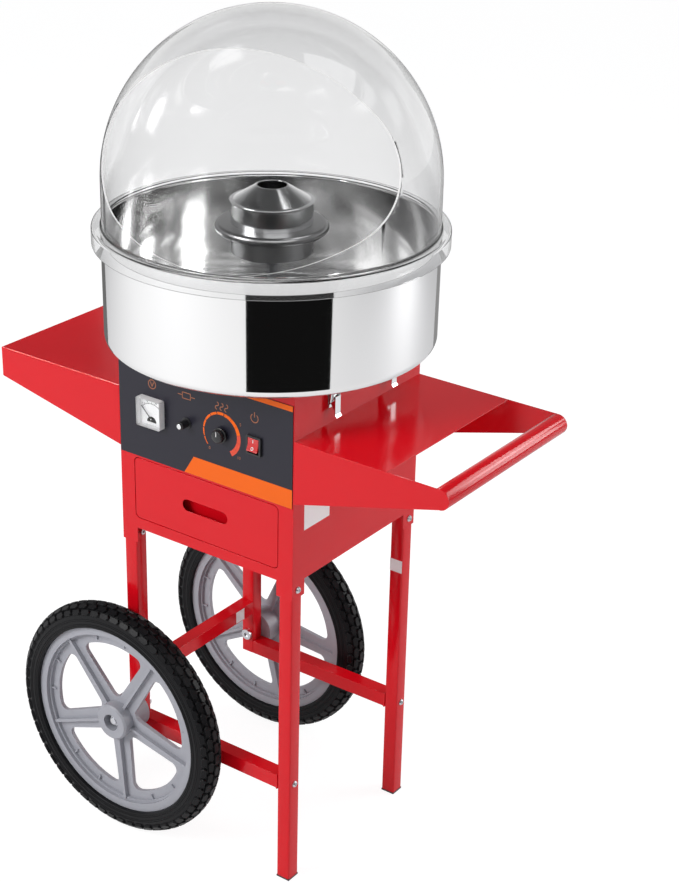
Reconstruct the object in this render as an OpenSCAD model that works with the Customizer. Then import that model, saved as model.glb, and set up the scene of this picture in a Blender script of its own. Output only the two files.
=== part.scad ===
// Cotton candy cart: a spinning-head floss machine with a steel bowl and a clear dome on a sheet-steel
// cabinet, carried by a tube frame with two spoked wheels on the left and two legs on the right.
// Millimetres, +Z up, front towards -Y, floor at z = 0, origin under the middle of the overall box.

/* [Cabinet] */
// Width of the cabinet across its sides
cab_w = 344; // [330:1:380]
// Depth of the cabinet from front to back
cab_d = 334; // [320:1:370]
// Height of the cabinet's top face
cab_top = 875; // [870:1:920]
// Drop from the cabinet's top to the panel's upper edge
panel_down = 18; // [12:1:24]
// Thickness of the cabinet and tray sheet
sheet = 1.5; // [1.2:0.1:2]
// Width of the corner tabs that hang over the legs
tab_w = 31; // [28:1:36]
// Drop of the corner tabs below the lower edge
tab_drop = 27; // [24:1:34]
// Height of the panel plate on the front
panel_h = 168; // [150:1:170]
// Thickness of the panel plate
panel_t = 1.2; // [0.8:0.1:2]

/* [Frame] */
// Width of the square tube
tube_w = 25; // [22:1:27]
// Wall of the square tube
tube_wall = 1.5; // [1.2:0.1:2]
// Length of leg that runs up inside the cabinet
leg_lap = 80; // [60:1:100]
// Height of the lower face of the two side bars
side_bar_low = 174; // [150:1:178]
// Height of the lower face of the cross bar between the wheels
cross_bar_low = 256; // [250:1:320]

/* [Wheels] */
// Outer radius of the tyre, which is also the axle height
tyre_r = 210; // [205:1:220]
// Width of the tyre
tyre_w = 46; // [40:1:50]
// Outer radius of the wheel's rim
rim_r = 170; // [165:1:175]
// Width of the wheel's rim
rim_w = 30; // [26:1:34]
// Distance from the cart's middle to the wheel's middle plane
wheel_y = 203; // [200:1:230]
// Outer radius of the hub
hub_r = 32; // [28:1:36]
// Number of spokes
spoke_n = 5; // [4:1:7]
// Half of a spoke's width at the hub
spoke_root = 19; // [14:0.5:20]
// Half of a spoke's width at the rim
spoke_tip = 16; // [12:0.5:19]
// Turn of the front wheel as it stands, in degrees
front_spin = 59; // [0:1:72]
// Turn of the back wheel as it stands, in degrees
back_spin = 67; // [0:1:72]
// Radius of the axle bolt
axle_r = 6; // [5:0.5:7]

/* [Shelf and tray] */
// Drop from the cabinet's top to the top faces of the shelf and the tray
tray_down = 75; // [65:1:95]
// Length of the left shelf
shelf_l = 257; // [200:1:300]
// Depth of the shelf's skirt at its outer edge
skirt_out = 51; // [40:1:60]
// Depth of the shelf's and the tray's skirts at the cabinet
skirt_in = 103; // [90:1:105]
// Length of the tray's top plate
tray_l = 165; // [140:1:180]
// Distance from the cabinet's side to the handle's axis
handle_reach = 256; // [230:1:280]
// Radius of the handle tube
handle_r = 16; // [12:0.5:18]
// Wall of the handle tube
handle_wall = 2; // [1.5:0.1:2.5]

/* [Drawer] */
// Width of the drawer's front
drawer_w = 286; // [260:1:287]
// Height of the drawer's front
drawer_h = 106; // [96:1:108]
// Height of the sheet under the drawer's front
sill_h = 20; // [18:1:24]
// Length of the drawer's tray from the front to its back wall
drawer_l = 290; // [240:1:300]
// Length of the finger slot
slot_l = 90; // [70:1:120]
// Height of the finger slot
slot_h = 20; // [16:1:24]

/* [Bowl and dome] */
// Outer radius of the bowl
bowl_r = 260; // [255:1:265]
// Height of the bowl
bowl_h = 184; // [170:1:190]
// Wall of the bowl
bowl_wall = 1.2; // [1:0.1:2]
// Radius of the bowl's lower corner
bowl_round = 14; // [8:1:20]
// How far the dome's wall stands in from the bowl's outer radius
dome_in = 1; // [0:0.5:3]
// Wall of the dome
dome_wall = 3; // [2:0.1:4]
// Height from the bowl's rim to the middle of the dome's sphere
dome_rise = 71; // [50:1:90]
// How far the dome's lip stands out from the bowl's outer radius
lip_out = 15; // [12:0.5:20]
// Drop of the lip below the bowl's rim
lip_drop = 25; // [18:1:30]
// How much less than the dome's radius the serving mouth's half width is
mouth_side = 33; // [28:1:50]
// How much less than the dome's radius the serving mouth's half height is
mouth_brow = 100; // [94:1:115]
// How much less than the mouth's half height the radius of its two ends is
mouth_flat = 39; // [30:1:50]
// Direction of the mouth, turned from the front towards the handle, in degrees
mouth_turn = 20; // [0:1:45]
// Tilt of the mouth above level, in degrees
mouth_tilt = 22; // [15:1:30]

/* [Spinner] */
// Radius of the head's drum
drum_r = 63.5; // [58:0.5:66]
// Radius of the head's flange
flange_r = 87.5; // [80:0.5:95]
// Radius of the shaft
shaft_r = 8; // [7:0.5:9]
// Radius of the sugar opening
feed_r = 23; // [18:1:28]
// Radius of the motor's casing
motor_r = 55; // [48:1:60]
// Room between the motor's casing and the slip rings above it
motor_room = 13; // [10:1:25]

/* [Hidden] */
$fn = 96;

// How far cutting shapes run past what they cut
over = 1;
// Clearance of a running fit, on the radius
run_fit = 0.05;
// Clearance of a loose bolt hole, on the radius
bolt_fit = 0.2;
// Clearance between pieces that slide past each other
slide_gap = 0.3;

// Colours of the finishes
red_paint = [0.76, 0.06, 0.09];
zinc = [0.75, 0.76, 0.78];
steel = [0.82, 0.83, 0.85];
alu = [0.78, 0.79, 0.8];
black = [0.06, 0.06, 0.07];
wheel_grey = [0.63, 0.65, 0.7];
panel_grey = [0.2, 0.2, 0.23];

// Halves of the cabinet and the place of its middle in the overall box
half_w = cab_w / 2;
half_d = cab_d / 2;
left_reach = half_w + shelf_l;
right_reach = half_w + handle_reach + handle_r;
cab_x = (left_reach - right_reach) / 2;

// Heights down the cabinet's front, from its top
panel_gap = 5;
panel_low = cab_top - panel_down - panel_h;
drawer_top = panel_low - panel_gap;
drawer_low = drawer_top - drawer_h;
cab_low = drawer_low - sill_h;
tray_z = cab_top - tray_down;

// Legs, set in behind the sheet
leg_out_x = half_w - sheet;
leg_in_x = leg_out_x - tube_w;
leg_mid_x = leg_out_x - tube_w / 2;
leg_out_y = half_d - sheet;
leg_in_y = leg_out_y - tube_w;
leg_mid_y = leg_out_y - tube_w / 2;
leg_top = cab_low + leg_lap;
tab_low = cab_low - tab_drop;
foot_h = 3;
foot_grow = 0.3;
plug_h = 14;
plug_gap = 0.1;

// Bolts of the frame
bolt_r = 3;
bolt_head_r = 5.5;
bolt_head_h = 3.4;
bolt_socket_r = 2.3;
nut_r = 5.7;
nut_h = 5;
bolt_spare = 3;
bolt_up = 14;
tab_bolt_z = tab_low + bolt_up;
bar_mid_z = side_bar_low + tube_w / 2;
end_plate_t = 3;
end_plate_grow = 1;
bar_bolt_l = 12;

// Wheel, axle and hub
axle_z = tyre_r;
hub_out = 25;
hub_gap = 0.5;
hub_in = wheel_y - leg_out_y - hub_gap;
hub_recess_r = 15;
hub_recess = 18;
hub_edge = 3;
rim_lip = 14;
rim_ledge = 4;
rim_step = 6;
rim_step_r = rim_r - rim_lip;
rim_in = rim_step_r - rim_ledge;
web_t = 7;
rib_w = 5;
rib_h = 22;
window_ring = 15;
window_corner = 12;
nub_w = 2.5;
nub_l = 9;
nub_h = 14;
crown_r = 27;
axle_head_r = 10;
axle_head_h = 5;
axle_socket_r = 4.6;
axle_nut_r = 10;
axle_nut_h = 9;
axle_spare = 3;

// Panel's margins, the deck behind its foot and the row of controls
panel_side = 1.5;
deck_gap = 5;
deck_low = drawer_top + deck_gap;
deck_top = deck_low + sheet;
control_up = 85;
control_z = panel_low + control_up;
front_y = -half_d - panel_t;

// Drawer and runners
drawer_gap = 1.2;
drawer_round = 8;
return_l = 10;
bin_side = 10;
bin_lift = 6;
bin_h = 88;
bin_w = drawer_w - 2 * bin_side;
bin_low = drawer_low + bin_lift;
bin_front = -half_d + return_l;
runner_lip = 12;
runner_up = 30;
runner_top = bin_low - slide_gap;
runner_play = 1;
runner_l = 2 * (leg_in_y - runner_play);
slot_z = drawer_low + drawer_h / 2;

// Shelf and tray
flange_h = 30;
handle_x = half_w + handle_reach;
handle_z = tray_z - handle_r;
tray_bolt_y = cab_d / 4;
tray_bolt_drop = 18;
shelf_drop_z = tray_z - sheet;

// Bowl, its floor and its catches
rim_z = cab_top + bowl_h;
bead_r = 3;
neck_r = 30;
neck_h = 26;
ridge_r = 2.5;
ridge_shares = [0.42, 0.56, 0.7];

// Dome
dome_r = bowl_r - dome_in;
lip_r = bowl_r + lip_out;
mouth_half_w = dome_r - mouth_side;
mouth_half_h = dome_r - mouth_brow;
mouth_end_r = mouth_half_h - mouth_flat;
dome_seat = 0.2;
seat_z = rim_z + dome_seat;
dome_mid_z = seat_z + dome_rise;
lip_round = 5;
mouth_end_x = mouth_half_w - mouth_end_r;
mouth_rest = mouth_half_h - mouth_end_r;
mouth_low = (mouth_end_x * mouth_end_x - mouth_rest * mouth_rest) / (2 * mouth_rest);
mouth_big_r = mouth_half_h + mouth_low;
mouth_join = mouth_end_x * mouth_big_r / (mouth_big_r - mouth_end_r);

// Spinner head, from its lower face
head_drop = 44;
head_low = rim_z - head_drop;
drum_wall = 3.5;
head_floor = 4;
lower_drum_h = 33;
flange_t = 14;
upper_drum_h = 36;
bead_h = 4;
bead_out = 1.5;
cone_h = 22;
feed_lip = 2;
flange_low = head_low + lower_drum_h;
flange_top = flange_low + flange_t;
drum_top = flange_top + upper_drum_h;
cone_top = drum_top + cone_h;
head_hub_r = 16;
head_hub_h = 18;
ribbon_r = 52;
ribbon_t = 1.2;
ribbon_h = 36;

// Motor, shaft and slip rings
mount_r = 10;
mount_h = 16;
mount_at = 58;
motor_plate_w = 150;
motor_plate_t = 4;
motor_low = deck_top + mount_h;
motor_cap_h = 6;
shaft_sink = 70;
ring_r = 20;
ring_h = 8;
ring_gap = 4;
sleeve_r = 14;
sleeve_h = 2 * ring_h + 3 * ring_gap;
ring_drop = 18;
sleeve_top = cab_top - sheet - ring_drop;
sleeve_low = sleeve_top - sleeve_h;
motor_top = sleeve_low - motor_room;
brush_w = 6;
brush_l = 12;
brush_h = 5;
holder_w = 24;
holder_l = 26;
holder_in = 25;
shaft_hole_r = 24;

// Meter
meter_x = -102;
meter_w = 48;
meter_round = 3;
meter_t = 2;
meter_barrel_r = 21;
meter_barrel_l = 26;
meter_cap_l = 10;
meter_cap_wall = 1.8;
needle_drop = 12;
needle_l = 27;
needle_w = 1.2;
needle_t = 0.8;
needle_hub_r = 3;
needle_pin_r = 1;
needle_lift = 1.5;
needle_rest = 45;

// Fuse holder
fuse_x = -33;
fuse_hole_r = 6.2;
fuse_flange_r = 9;
fuse_flange_t = 2;
fuse_body_l = 34;
fuse_nut_r = 10;
fuse_nut_h = 4;
fuse_bore_r = 4;
fuse_cap_r = 6.5;
fuse_cap_l = 15;
fuse_tip_r = 5;
fuse_tip_l = 2;
fuse_glass_r = 2.5;
fuse_glass_l = 20;

// Heat control and knob
knob_x = 36;
bush_r = 4.8;
bush_out = 3;
pot_r = 20;
pot_l = 24;
stem_r = 3;
stem_in = 14;
knob_gap = 0.5;
knob_skirt_r = 12.5;
knob_skirt_l = 3;
knob_r = 10.5;
knob_l = 11;
pointer_w = 1.6;
pointer_t = 0.6;

// Rocker switch
switch_x = 99;
switch_w = 28;
switch_h = 31;
switch_lip = 4;
switch_round = 2.5;
switch_body_w = 25;
switch_body_h = 28;
switch_body_l = 24;
rocker_w = 20;
rocker_half = 10.5;
rocker_gap = 0.4;
rocker_tilt = 12;
rocker_axis_in = 4;
rocker_out = 8;
rocker_back = 5;
rocker_pin_r = 1.5;
rocker_end = rocker_out + rocker_half * tan(rocker_tilt);
rocker_room = rocker_end * sin(rocker_tilt) + rocker_half * cos(rocker_tilt) + rocker_gap;

// Mains inlet on the back
inlet_up = 38;
inlet_z = deck_top + inlet_up;
inlet_x = half_w / 2;
inlet_w = 48;
inlet_h = 28;
inlet_t = 3;
inlet_body_w = 28;
inlet_body_h = 22;
inlet_body_l = 20;
inlet_hole_w = 24;
inlet_hole_h = 17;
inlet_deep = 15;

// Vent slots in the back cover
vent_n = 6;
vent_l = 90;
vent_h = 5;
vent_step = 14;
vent_up = 70;
vent_z = deck_top + vent_up;

// Latches on the cabinet's sides, with offsets from the side's face and from the latch's middle
latch_y = 75;
latch_pivot_out = 6;
latch_drop = 29;
latch_pivot_z = cab_top - latch_drop;
latch_base_w = 20;
latch_base_up = 12;
latch_base_down = 20;
latch_sheet = 1.5;
ear_t = 1.2;
ear_in = 7.2;
ear_half = 4.5;
latch_pin_r = 1.5;
cheek_t = 1.2;
cheek_in = 5.4;
cheek_r = 3.8;
cheek_half = 2.8;
lever_out = 11;
lever_l = 29;
lever_tip = 5;
lever_tip_turn = 35;
crank = 8;
bail_wire_r = 1.1;
bail_half = 10.2;
bail_seat = 0.35;
bail_out = 10;
catch_drop = 13;
catch_w = 12;
catch_t = 1.5;
catch_in = 5;
catch_out = 12;
bail_top_z = cab_top - catch_drop + catch_t + bail_seat + bail_wire_r;
bail_low_z = latch_pivot_z - crank;

// Moves a piece from the cabinet's middle into the overall frame
module in_frame() {
    translate([cab_x, 0, 0]) children();
}

// Draws a flat shape of x and z and gives it thickness along y, from y0 to y1
module along_y(y0, y1) {
    translate([0, y1, 0]) rotate([90, 0, 0]) linear_extrude(height = y1 - y0) children();
}

// Draws a flat shape of y and z and gives it thickness along x, from x0 to x1
module along_x(x0, x1) {
    translate([x0, 0, 0]) rotate([90, 0, 90]) linear_extrude(height = x1 - x0) children();
}

// A box given by its two corners
module box(low, high) {
    translate(low) cube(high - low);
}

// A rectangle with round corners, about its middle
module round_rect(w, h, r) {
    square([w - 2 * r, h], center = true);
    square([w, h - 2 * r], center = true);
    for (x = [-1, 1], y = [-1, 1])
        translate([x * (w / 2 - r), y * (h / 2 - r)]) circle(r);
}

// A slot with round ends, about its middle
module slot(l, h) {
    square([l - h, h], center = true);
    for (x = [-1, 1]) translate([x * (l - h) / 2, 0]) circle(h / 2);
}

// A square tube along z, about its own axis
module square_tube(l) {
    bore_w = tube_w - 2 * tube_wall;
    linear_extrude(height = l) difference() {
        square(tube_w, center = true);
        square(bore_w, center = true);
    }
}

// A round-headed bolt along x with a hexagon socket: the head's seat at x = 0, the shank towards -x
module socket_bolt(l) {
    rotate([0, 90, 0]) difference() {
        union() {
            cylinder(r = bolt_head_r, h = bolt_head_h);
            translate([0, 0, -l]) cylinder(r = bolt_r, h = l + bolt_head_h / 2);
        }
        translate([0, 0, bolt_head_h / 2]) cylinder(r = bolt_socket_r, h = bolt_head_h, $fn = 6);
    }
}

// A hexagon nut along x, from x = 0 towards -x
module hex_nut() {
    translate([-nut_h, 0, 0]) rotate([0, 90, 0]) difference() {
        cylinder(r = nut_r, h = nut_h, $fn = 6);
        translate([0, 0, -over]) cylinder(r = bolt_r + run_fit, h = nut_h + 2 * over);
    }
}

// A hole along x through everything near x0
module hole_x(x0, y, z, r) {
    translate([x0 - tube_w, y, z]) rotate([0, 90, 0]) cylinder(r = r, h = 2 * tube_w);
}

// One leg: sx and sy choose the corner, low is the height of its lower end
module leg(sx, sy, low) {
    color(red_paint) in_frame() difference() {
        translate([sx * leg_mid_x, sy * leg_mid_y, low]) square_tube(leg_top - low);
        hole_x(sx * leg_mid_x, sy * leg_mid_y, tab_bolt_z, bolt_r + bolt_fit);
        if (sx > 0) hole_x(leg_mid_x, sy * leg_mid_y, bar_mid_z, bolt_r + bolt_fit);
        if (sx < 0)
            translate([-leg_mid_x, sy * leg_mid_y + tube_w, axle_z]) rotate([90, 0, 0])
                cylinder(r = axle_r + bolt_fit, h = 2 * tube_w);
    }
}

module front_left_leg() { leg(-1, -1, side_bar_low); }
module back_left_leg() { leg(-1, 1, side_bar_low); }
module front_right_leg() { leg(1, -1, foot_h); }
module back_right_leg() { leg(1, 1, foot_h); }

// A side bar from the left leg to the right leg, with the end plate that the bolt screws into
module side_bar(sy) {
    plate_w = tube_w + 2 * end_plate_grow;
    color(red_paint) in_frame() difference() {
        union() {
            translate([-leg_in_x, sy * leg_mid_y, bar_mid_z]) rotate([0, 90, 0])
                square_tube(2 * leg_in_x - end_plate_t);
            translate([leg_in_x - end_plate_t / 2, sy * leg_mid_y, bar_mid_z])
                cube([end_plate_t, plate_w, plate_w], center = true);
        }
        hole_x(leg_in_x, sy * leg_mid_y, bar_mid_z, bolt_r + bolt_fit);
    }
}

module front_side_bar() { side_bar(-1); }
module back_side_bar() { side_bar(1); }

// The bar between the two left legs, above the axles
module left_cross_bar() {
    color(red_paint) in_frame()
        translate([-leg_mid_x, leg_in_y, cross_bar_low + tube_w / 2]) rotate([90, 0, 0])
            square_tube(2 * leg_in_y);
}

// Plastic feet pushed into the lower ends of the right legs
module leg_feet() {
    foot_w = tube_w + 2 * foot_grow;
    plug_w = tube_w - 2 * tube_wall - 2 * plug_gap;
    color(black) in_frame() for (sy = [-1, 1]) translate([leg_mid_x, sy * leg_mid_y, 0]) {
        translate([-foot_w / 2, -foot_w / 2, 0]) cube([foot_w, foot_w, foot_h]);
        translate([-plug_w / 2, -plug_w / 2, 0]) cube([plug_w, plug_w, foot_h + plug_h]);
    }
}

// Bolts and nuts that hold the cabinet's tabs to the legs and the side bars to the right legs
module frame_bolts() {
    tab_bolt_l = sheet + tube_w + nut_h + bolt_spare;
    color(zinc) in_frame() {
        for (sy = [-1, 1]) {
            for (sx = [0, 1]) mirror([sx, 0, 0]) translate([0, sy * leg_mid_y, tab_bolt_z]) {
                translate([half_w, 0, 0]) socket_bolt(tab_bolt_l);
                translate([leg_in_x, 0, 0]) hex_nut();
            }
            translate([leg_out_x, sy * leg_mid_y, bar_mid_z]) socket_bolt(tube_w + bar_bolt_l);
        }
    }
}

// One window between two spokes, drawn about the wheel's axis: three round corners on a curved outer edge
module window_2d() {
    step = 360 / spoke_n;
    out_r = rim_in - window_ring;
    ring = out_r - window_corner;
    lean = atan((spoke_root - spoke_tip) / (out_r - hub_r));
    side = (spoke_root + hub_r * tan(lean)) * cos(lean) + window_corner;
    turn = asin(side / ring) - lean;
    inner = side / sin(step / 2 + lean);
    mid = [inner * cos(step / 2), inner * sin(step / 2)];
    a = [cos(turn), sin(turn)];
    b = [cos(step - turn), sin(step - turn)];
    side_a = window_corner * [-sin(lean), -cos(lean)];
    side_b = window_corner * [-sin(step + lean), cos(step + lean)];
    far = 2 * out_r;
    polygon([mid + side_a, ring * a + side_a, ring * a, out_r * a, out_r * b, ring * b,
        ring * b + side_b, mid + side_b]);
    for (p = [mid, ring * a, ring * b]) translate(p) circle(window_corner);
    intersection() {
        circle(out_r);
        polygon([out_r * a, far * a, far * b, out_r * b]);
    }
}

// The moulded wheel about z, its outer face towards +z
module wheel_shape() {
    step = 360 / spoke_n;
    rim_half = rim_w / 2;
    difference() {
        union() {
            rotate_extrude() polygon([[rim_in, rim_step - rim_half], [rim_step_r, rim_step - rim_half],
                [rim_step_r, -rim_half], [rim_r, -rim_half], [rim_r, rim_half], [rim_step_r, rim_half],
                [rim_step_r, rim_half - rim_step], [rim_in, rim_half - rim_step]]);
            translate([0, 0, -web_t / 2]) linear_extrude(height = web_t) difference() {
                circle(rim_step_r);
                for (i = [0 : spoke_n - 1]) rotate(i * step) window_2d();
            }
            for (i = [0 : spoke_n - 1]) rotate(i * step)
                translate([0, -rib_w / 2, -rib_h / 2]) cube([rim_step_r + rim_lip / 2, rib_w, rib_h]);
            for (i = [0 : spoke_n - 1], k = [1, 2]) rotate((i + k / 3) * step)
                translate([rim_in - nub_l, -nub_w / 2, -nub_h / 2]) cube([nub_l + rim_lip / 2, nub_w, nub_h]);
            rotate_extrude() polygon([[0, -hub_in], [hub_r, -hub_in], [hub_r, hub_out - hub_edge],
                [hub_r - hub_edge, hub_out], [0, hub_out]]);
        }
        translate([0, 0, -hub_in - over]) cylinder(r = axle_r + run_fit, h = hub_in + hub_out + 2 * over);
        translate([0, 0, hub_out - hub_recess]) cylinder(r = hub_recess_r, h = hub_recess + over);
    }
}

// The tyre about z: a round crown, straight walls and a seat on the rim
module tyre_shape() {
    rotate_extrude() difference() {
        intersection() {
            translate([tyre_r - crown_r, 0]) circle(crown_r);
            translate([0, -tyre_w / 2]) square([tyre_r, tyre_w]);
        }
        translate([0, -tyre_w]) square([rim_r, 2 * tyre_w]);
    }
}

// Puts a wheel piece on the front axle, its outer face towards the front
module on_front_axle() {
    in_frame() translate([-leg_mid_x, -wheel_y, axle_z]) rotate([90, 0, 0]) children();
}

module front_wheel() { color(wheel_grey) on_front_axle() rotate(front_spin) wheel_shape(); }
module front_tyre() { color(black) on_front_axle() tyre_shape(); }
module back_wheel() { color(wheel_grey) mirror([0, 1, 0]) on_front_axle() rotate(back_spin) wheel_shape(); }
module back_tyre() { color(black) mirror([0, 1, 0]) on_front_axle() tyre_shape(); }

// Axle bolts: a socket head on the leg's inner face, a shank through leg and hub, a nut in the hub's recess
module axle_bolts() {
    seat = hub_out - hub_recess + slide_gap;
    leg_face = wheel_y - leg_in_y;
    shank = leg_face + seat + axle_nut_h + axle_spare;
    color(zinc) for (m = [0, 1]) mirror([0, m, 0]) on_front_axle() {
        translate([0, 0, -leg_face]) difference() {
            union() {
                translate([0, 0, -axle_head_h]) cylinder(r = axle_head_r, h = axle_head_h);
                translate([0, 0, -axle_head_h / 2]) cylinder(r = axle_r, h = shank + axle_head_h / 2);
            }
            translate([0, 0, -axle_head_h * 3 / 2]) cylinder(r = axle_socket_r, h = axle_head_h, $fn = 6);
        }
        translate([0, 0, seat]) difference() {
            cylinder(r = axle_nut_r, h = axle_nut_h, $fn = 6);
            translate([0, 0, -over]) cylinder(r = axle_r + run_fit, h = axle_nut_h + 2 * over);
        }
    }
}

// Outline of a cabinet wall of half width half, with its two corner tabs, ending under the top plate
module wall_2d(half, tab) {
    polygon([[-half, tab_low], [-half + tab, tab_low], [-half + tab, cab_low], [half - tab, cab_low],
        [half - tab, tab_low], [half, tab_low], [half, cab_top - sheet], [-half, cab_top - sheet]]);
}

// Holes that the controls need in the front sheet and the panel plate
module control_holes_2d() {
    translate([meter_x, control_z]) circle(meter_barrel_r + bolt_fit);
    translate([fuse_x, control_z]) circle(fuse_hole_r + bolt_fit);
    translate([knob_x, control_z]) circle(bush_r + bolt_fit);
    translate([switch_x, control_z])
        square([switch_body_w + 2 * bolt_fit, switch_body_h + 2 * bolt_fit], center = true);
}

// Front sheet with the drawer's opening
module cabinet_front() {
    open_w = drawer_w + 2 * drawer_gap;
    open_h = drawer_h + 2 * drawer_gap;
    color(red_paint) in_frame() along_y(-half_d, sheet - half_d) difference() {
        wall_2d(half_w, tab_w);
        translate([0, slot_z]) round_rect(open_w, open_h, drawer_round + drawer_gap);
        control_holes_2d();
    }
}

// A side sheet between the front and the back, on the right or, mirrored, on the left
module cabinet_side(m) {
    color(red_paint) in_frame() mirror([m, 0, 0]) difference() {
        along_x(half_w - sheet, half_w) wall_2d(half_d - sheet, tab_w - sheet);
        for (sy = [-1, 1]) {
            hole_x(half_w, sy * leg_mid_y, tab_bolt_z, bolt_r + bolt_fit);
            hole_x(half_w, sy * tray_bolt_y, tray_z - tray_bolt_drop, bolt_r + bolt_fit);
        }
    }
}

module cabinet_left_side() { cabinet_side(1); }
module cabinet_right_side() { cabinet_side(0); }

// Back sheet with vent slots and the inlet's cut-out
module back_cover() {
    color(red_paint) in_frame() along_y(half_d - sheet, half_d) difference() {
        wall_2d(half_w, tab_w);
        for (i = [0 : vent_n - 1], sx = [-1, 1])
            translate([sx * half_w / 2, vent_z + i * vent_step]) slot(vent_l, vent_h);
        translate([inlet_x, inlet_z])
            square([inlet_body_w + 2 * bolt_fit, inlet_body_h + 2 * bolt_fit], center = true);
    }
}

// Top plate with the hole for the shaft
module cabinet_top() {
    color(red_paint) in_frame() translate([0, 0, cab_top - sheet]) linear_extrude(height = sheet)
        difference() {
            square([cab_w, cab_d], center = true);
            circle(shaft_hole_r);
        }
}

// Deck between the drawer and the motor
module motor_deck() {
    color(red_paint) in_frame() translate([0, 0, deck_low]) linear_extrude(height = sheet)
        square([cab_w - 2 * sheet, cab_d - 2 * sheet], center = true);
}

// Printed panel plate on the front sheet
module control_panel() {
    color(panel_grey) in_frame() along_y(front_y, -half_d) difference() {
        translate([panel_side - half_w, panel_low]) square([cab_w - 2 * panel_side, panel_h]);
        control_holes_2d();
    }
}

// Left shelf: one folded sheet with three skirts and a flange against the cabinet
module left_shelf() {
    out_x = -half_w - shelf_l;
    color(red_paint) in_frame() difference() {
        union() {
            box([out_x, -half_d, shelf_drop_z], [-half_w, half_d, tray_z]);
            box([out_x, -half_d, tray_z - skirt_out], [out_x + sheet, half_d, tray_z]);
            box([-half_w - sheet, -half_d, tray_z - flange_h], [-half_w, half_d, tray_z]);
            for (y = [-half_d, half_d - sheet]) along_y(y, y + sheet)
                polygon([[out_x, tray_z], [-half_w, tray_z], [-half_w, tray_z - skirt_in],
                    [out_x, tray_z - skirt_out]]);
        }
        for (sy = [-1, 1])
            hole_x(-half_w, sy * tray_bolt_y, tray_z - tray_bolt_drop, bolt_r + bolt_fit);
    }
}

// Right tray: a top plate and two side plates that taper out to the handle
module handle_tray() {
    out_x = half_w + tray_l;
    color(red_paint) in_frame() difference() {
        union() {
            box([half_w, -half_d, shelf_drop_z], [out_x, half_d, tray_z]);
            box([half_w, -half_d, tray_z - flange_h], [half_w + sheet, half_d, tray_z]);
            for (y = [-half_d, half_d - sheet]) along_y(y, y + sheet) {
                polygon([[half_w, tray_z], [handle_x, tray_z], [handle_x, handle_z - handle_r],
                    [half_w, tray_z - skirt_in]]);
                translate([handle_x, handle_z]) circle(handle_r);
            }
        }
        for (sy = [-1, 1])
            hole_x(half_w, sy * tray_bolt_y, tray_z - tray_bolt_drop, bolt_r + bolt_fit);
    }
}

// Handle tube between the tray's side plates
module push_handle() {
    y0 = sheet - half_d;
    color(red_paint) in_frame() along_y(y0, -y0) translate([handle_x, handle_z]) difference() {
        circle(handle_r);
        circle(handle_r - handle_wall);
    }
}

// Bolts and nuts that hold the shelf and the tray to the cabinet's sides
module tray_bolts() {
    l = 2 * sheet + nut_h + bolt_spare;
    color(zinc) in_frame() for (m = [0, 1], sy = [-1, 1]) mirror([m, 0, 0])
        translate([half_w, sy * tray_bolt_y, tray_z - tray_bolt_drop]) {
            translate([sheet, 0, 0]) socket_bolt(l);
            translate([-sheet, 0, 0]) hex_nut();
        }
}

// Mains inlet on the back cover
module mains_inlet() {
    color(black) in_frame() difference() {
        union() {
            along_y(half_d, half_d + inlet_t) translate([inlet_x, inlet_z])
                round_rect(inlet_w, inlet_h, inlet_t);
            along_y(half_d - inlet_body_l, half_d + inlet_t) translate([inlet_x, inlet_z])
                square([inlet_body_w, inlet_body_h], center = true);
        }
        along_y(half_d + inlet_t - inlet_deep, half_d + inlet_t + over) translate([inlet_x, inlet_z])
            square([inlet_hole_w, inlet_hole_h], center = true);
    }
}

// Meter base: dial plate on the panel, barrel behind it, pin for the needle
module meter_case() {
    color("white") in_frame() {
        along_y(front_y - meter_t, front_y) translate([meter_x, control_z])
            round_rect(meter_w, meter_w, meter_round);
        along_y(front_y - meter_t / 2, front_y + meter_barrel_l) translate([meter_x, control_z])
            circle(meter_barrel_r);
        along_y(front_y - meter_t - needle_lift - needle_t, front_y - meter_t / 2)
            translate([meter_x, control_z - needle_drop]) circle(needle_pin_r);
    }
}

// Needle on its pin, at rest at the low end of the dial
module meter_needle() {
    y1 = front_y - meter_t - needle_lift;
    color(black) in_frame() along_y(y1 - needle_t, y1)
        translate([meter_x, control_z - needle_drop]) difference() {
            union() {
                circle(needle_hub_r);
                rotate(needle_rest) translate([-needle_w / 2, 0]) square([needle_w, needle_l]);
            }
            circle(needle_pin_r + run_fit);
        }
}

// Clear cap over the dial
module meter_window() {
    y1 = front_y - meter_t;
    inner = meter_w - 2 * meter_cap_wall;
    color([0.9, 0.93, 0.95, 0.35]) in_frame() difference() {
        along_y(y1 - meter_cap_l, y1) translate([meter_x, control_z])
            round_rect(meter_w, meter_w, meter_round);
        along_y(y1 - meter_cap_l + meter_cap_wall, y1 + over) translate([meter_x, control_z])
            square(inner, center = true);
    }
}

// Fuse holder through the panel, with its nut behind the sheet
module fuse_holder() {
    back = sheet - half_d;
    color(black) in_frame() translate([fuse_x, 0, control_z]) difference() {
        union() {
            along_y(front_y - fuse_flange_t, front_y) circle(fuse_flange_r);
            along_y(front_y - fuse_flange_t / 2, back + fuse_body_l) circle(fuse_hole_r);
            along_y(back, back + fuse_nut_h) circle(fuse_nut_r, $fn = 6);
        }
        along_y(front_y - fuse_flange_t - over, back + fuse_body_l - fuse_nut_h) circle(fuse_bore_r);
    }
}

// Screw cap of the fuse holder
module fuse_cap() {
    y1 = front_y - fuse_flange_t;
    color(black) in_frame() translate([fuse_x, 0, control_z]) {
        along_y(y1 - fuse_cap_l, y1) circle(fuse_cap_r);
        along_y(y1 - fuse_cap_l - fuse_tip_l, y1 - fuse_cap_l / 2) circle(fuse_tip_r);
    }
}

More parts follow.
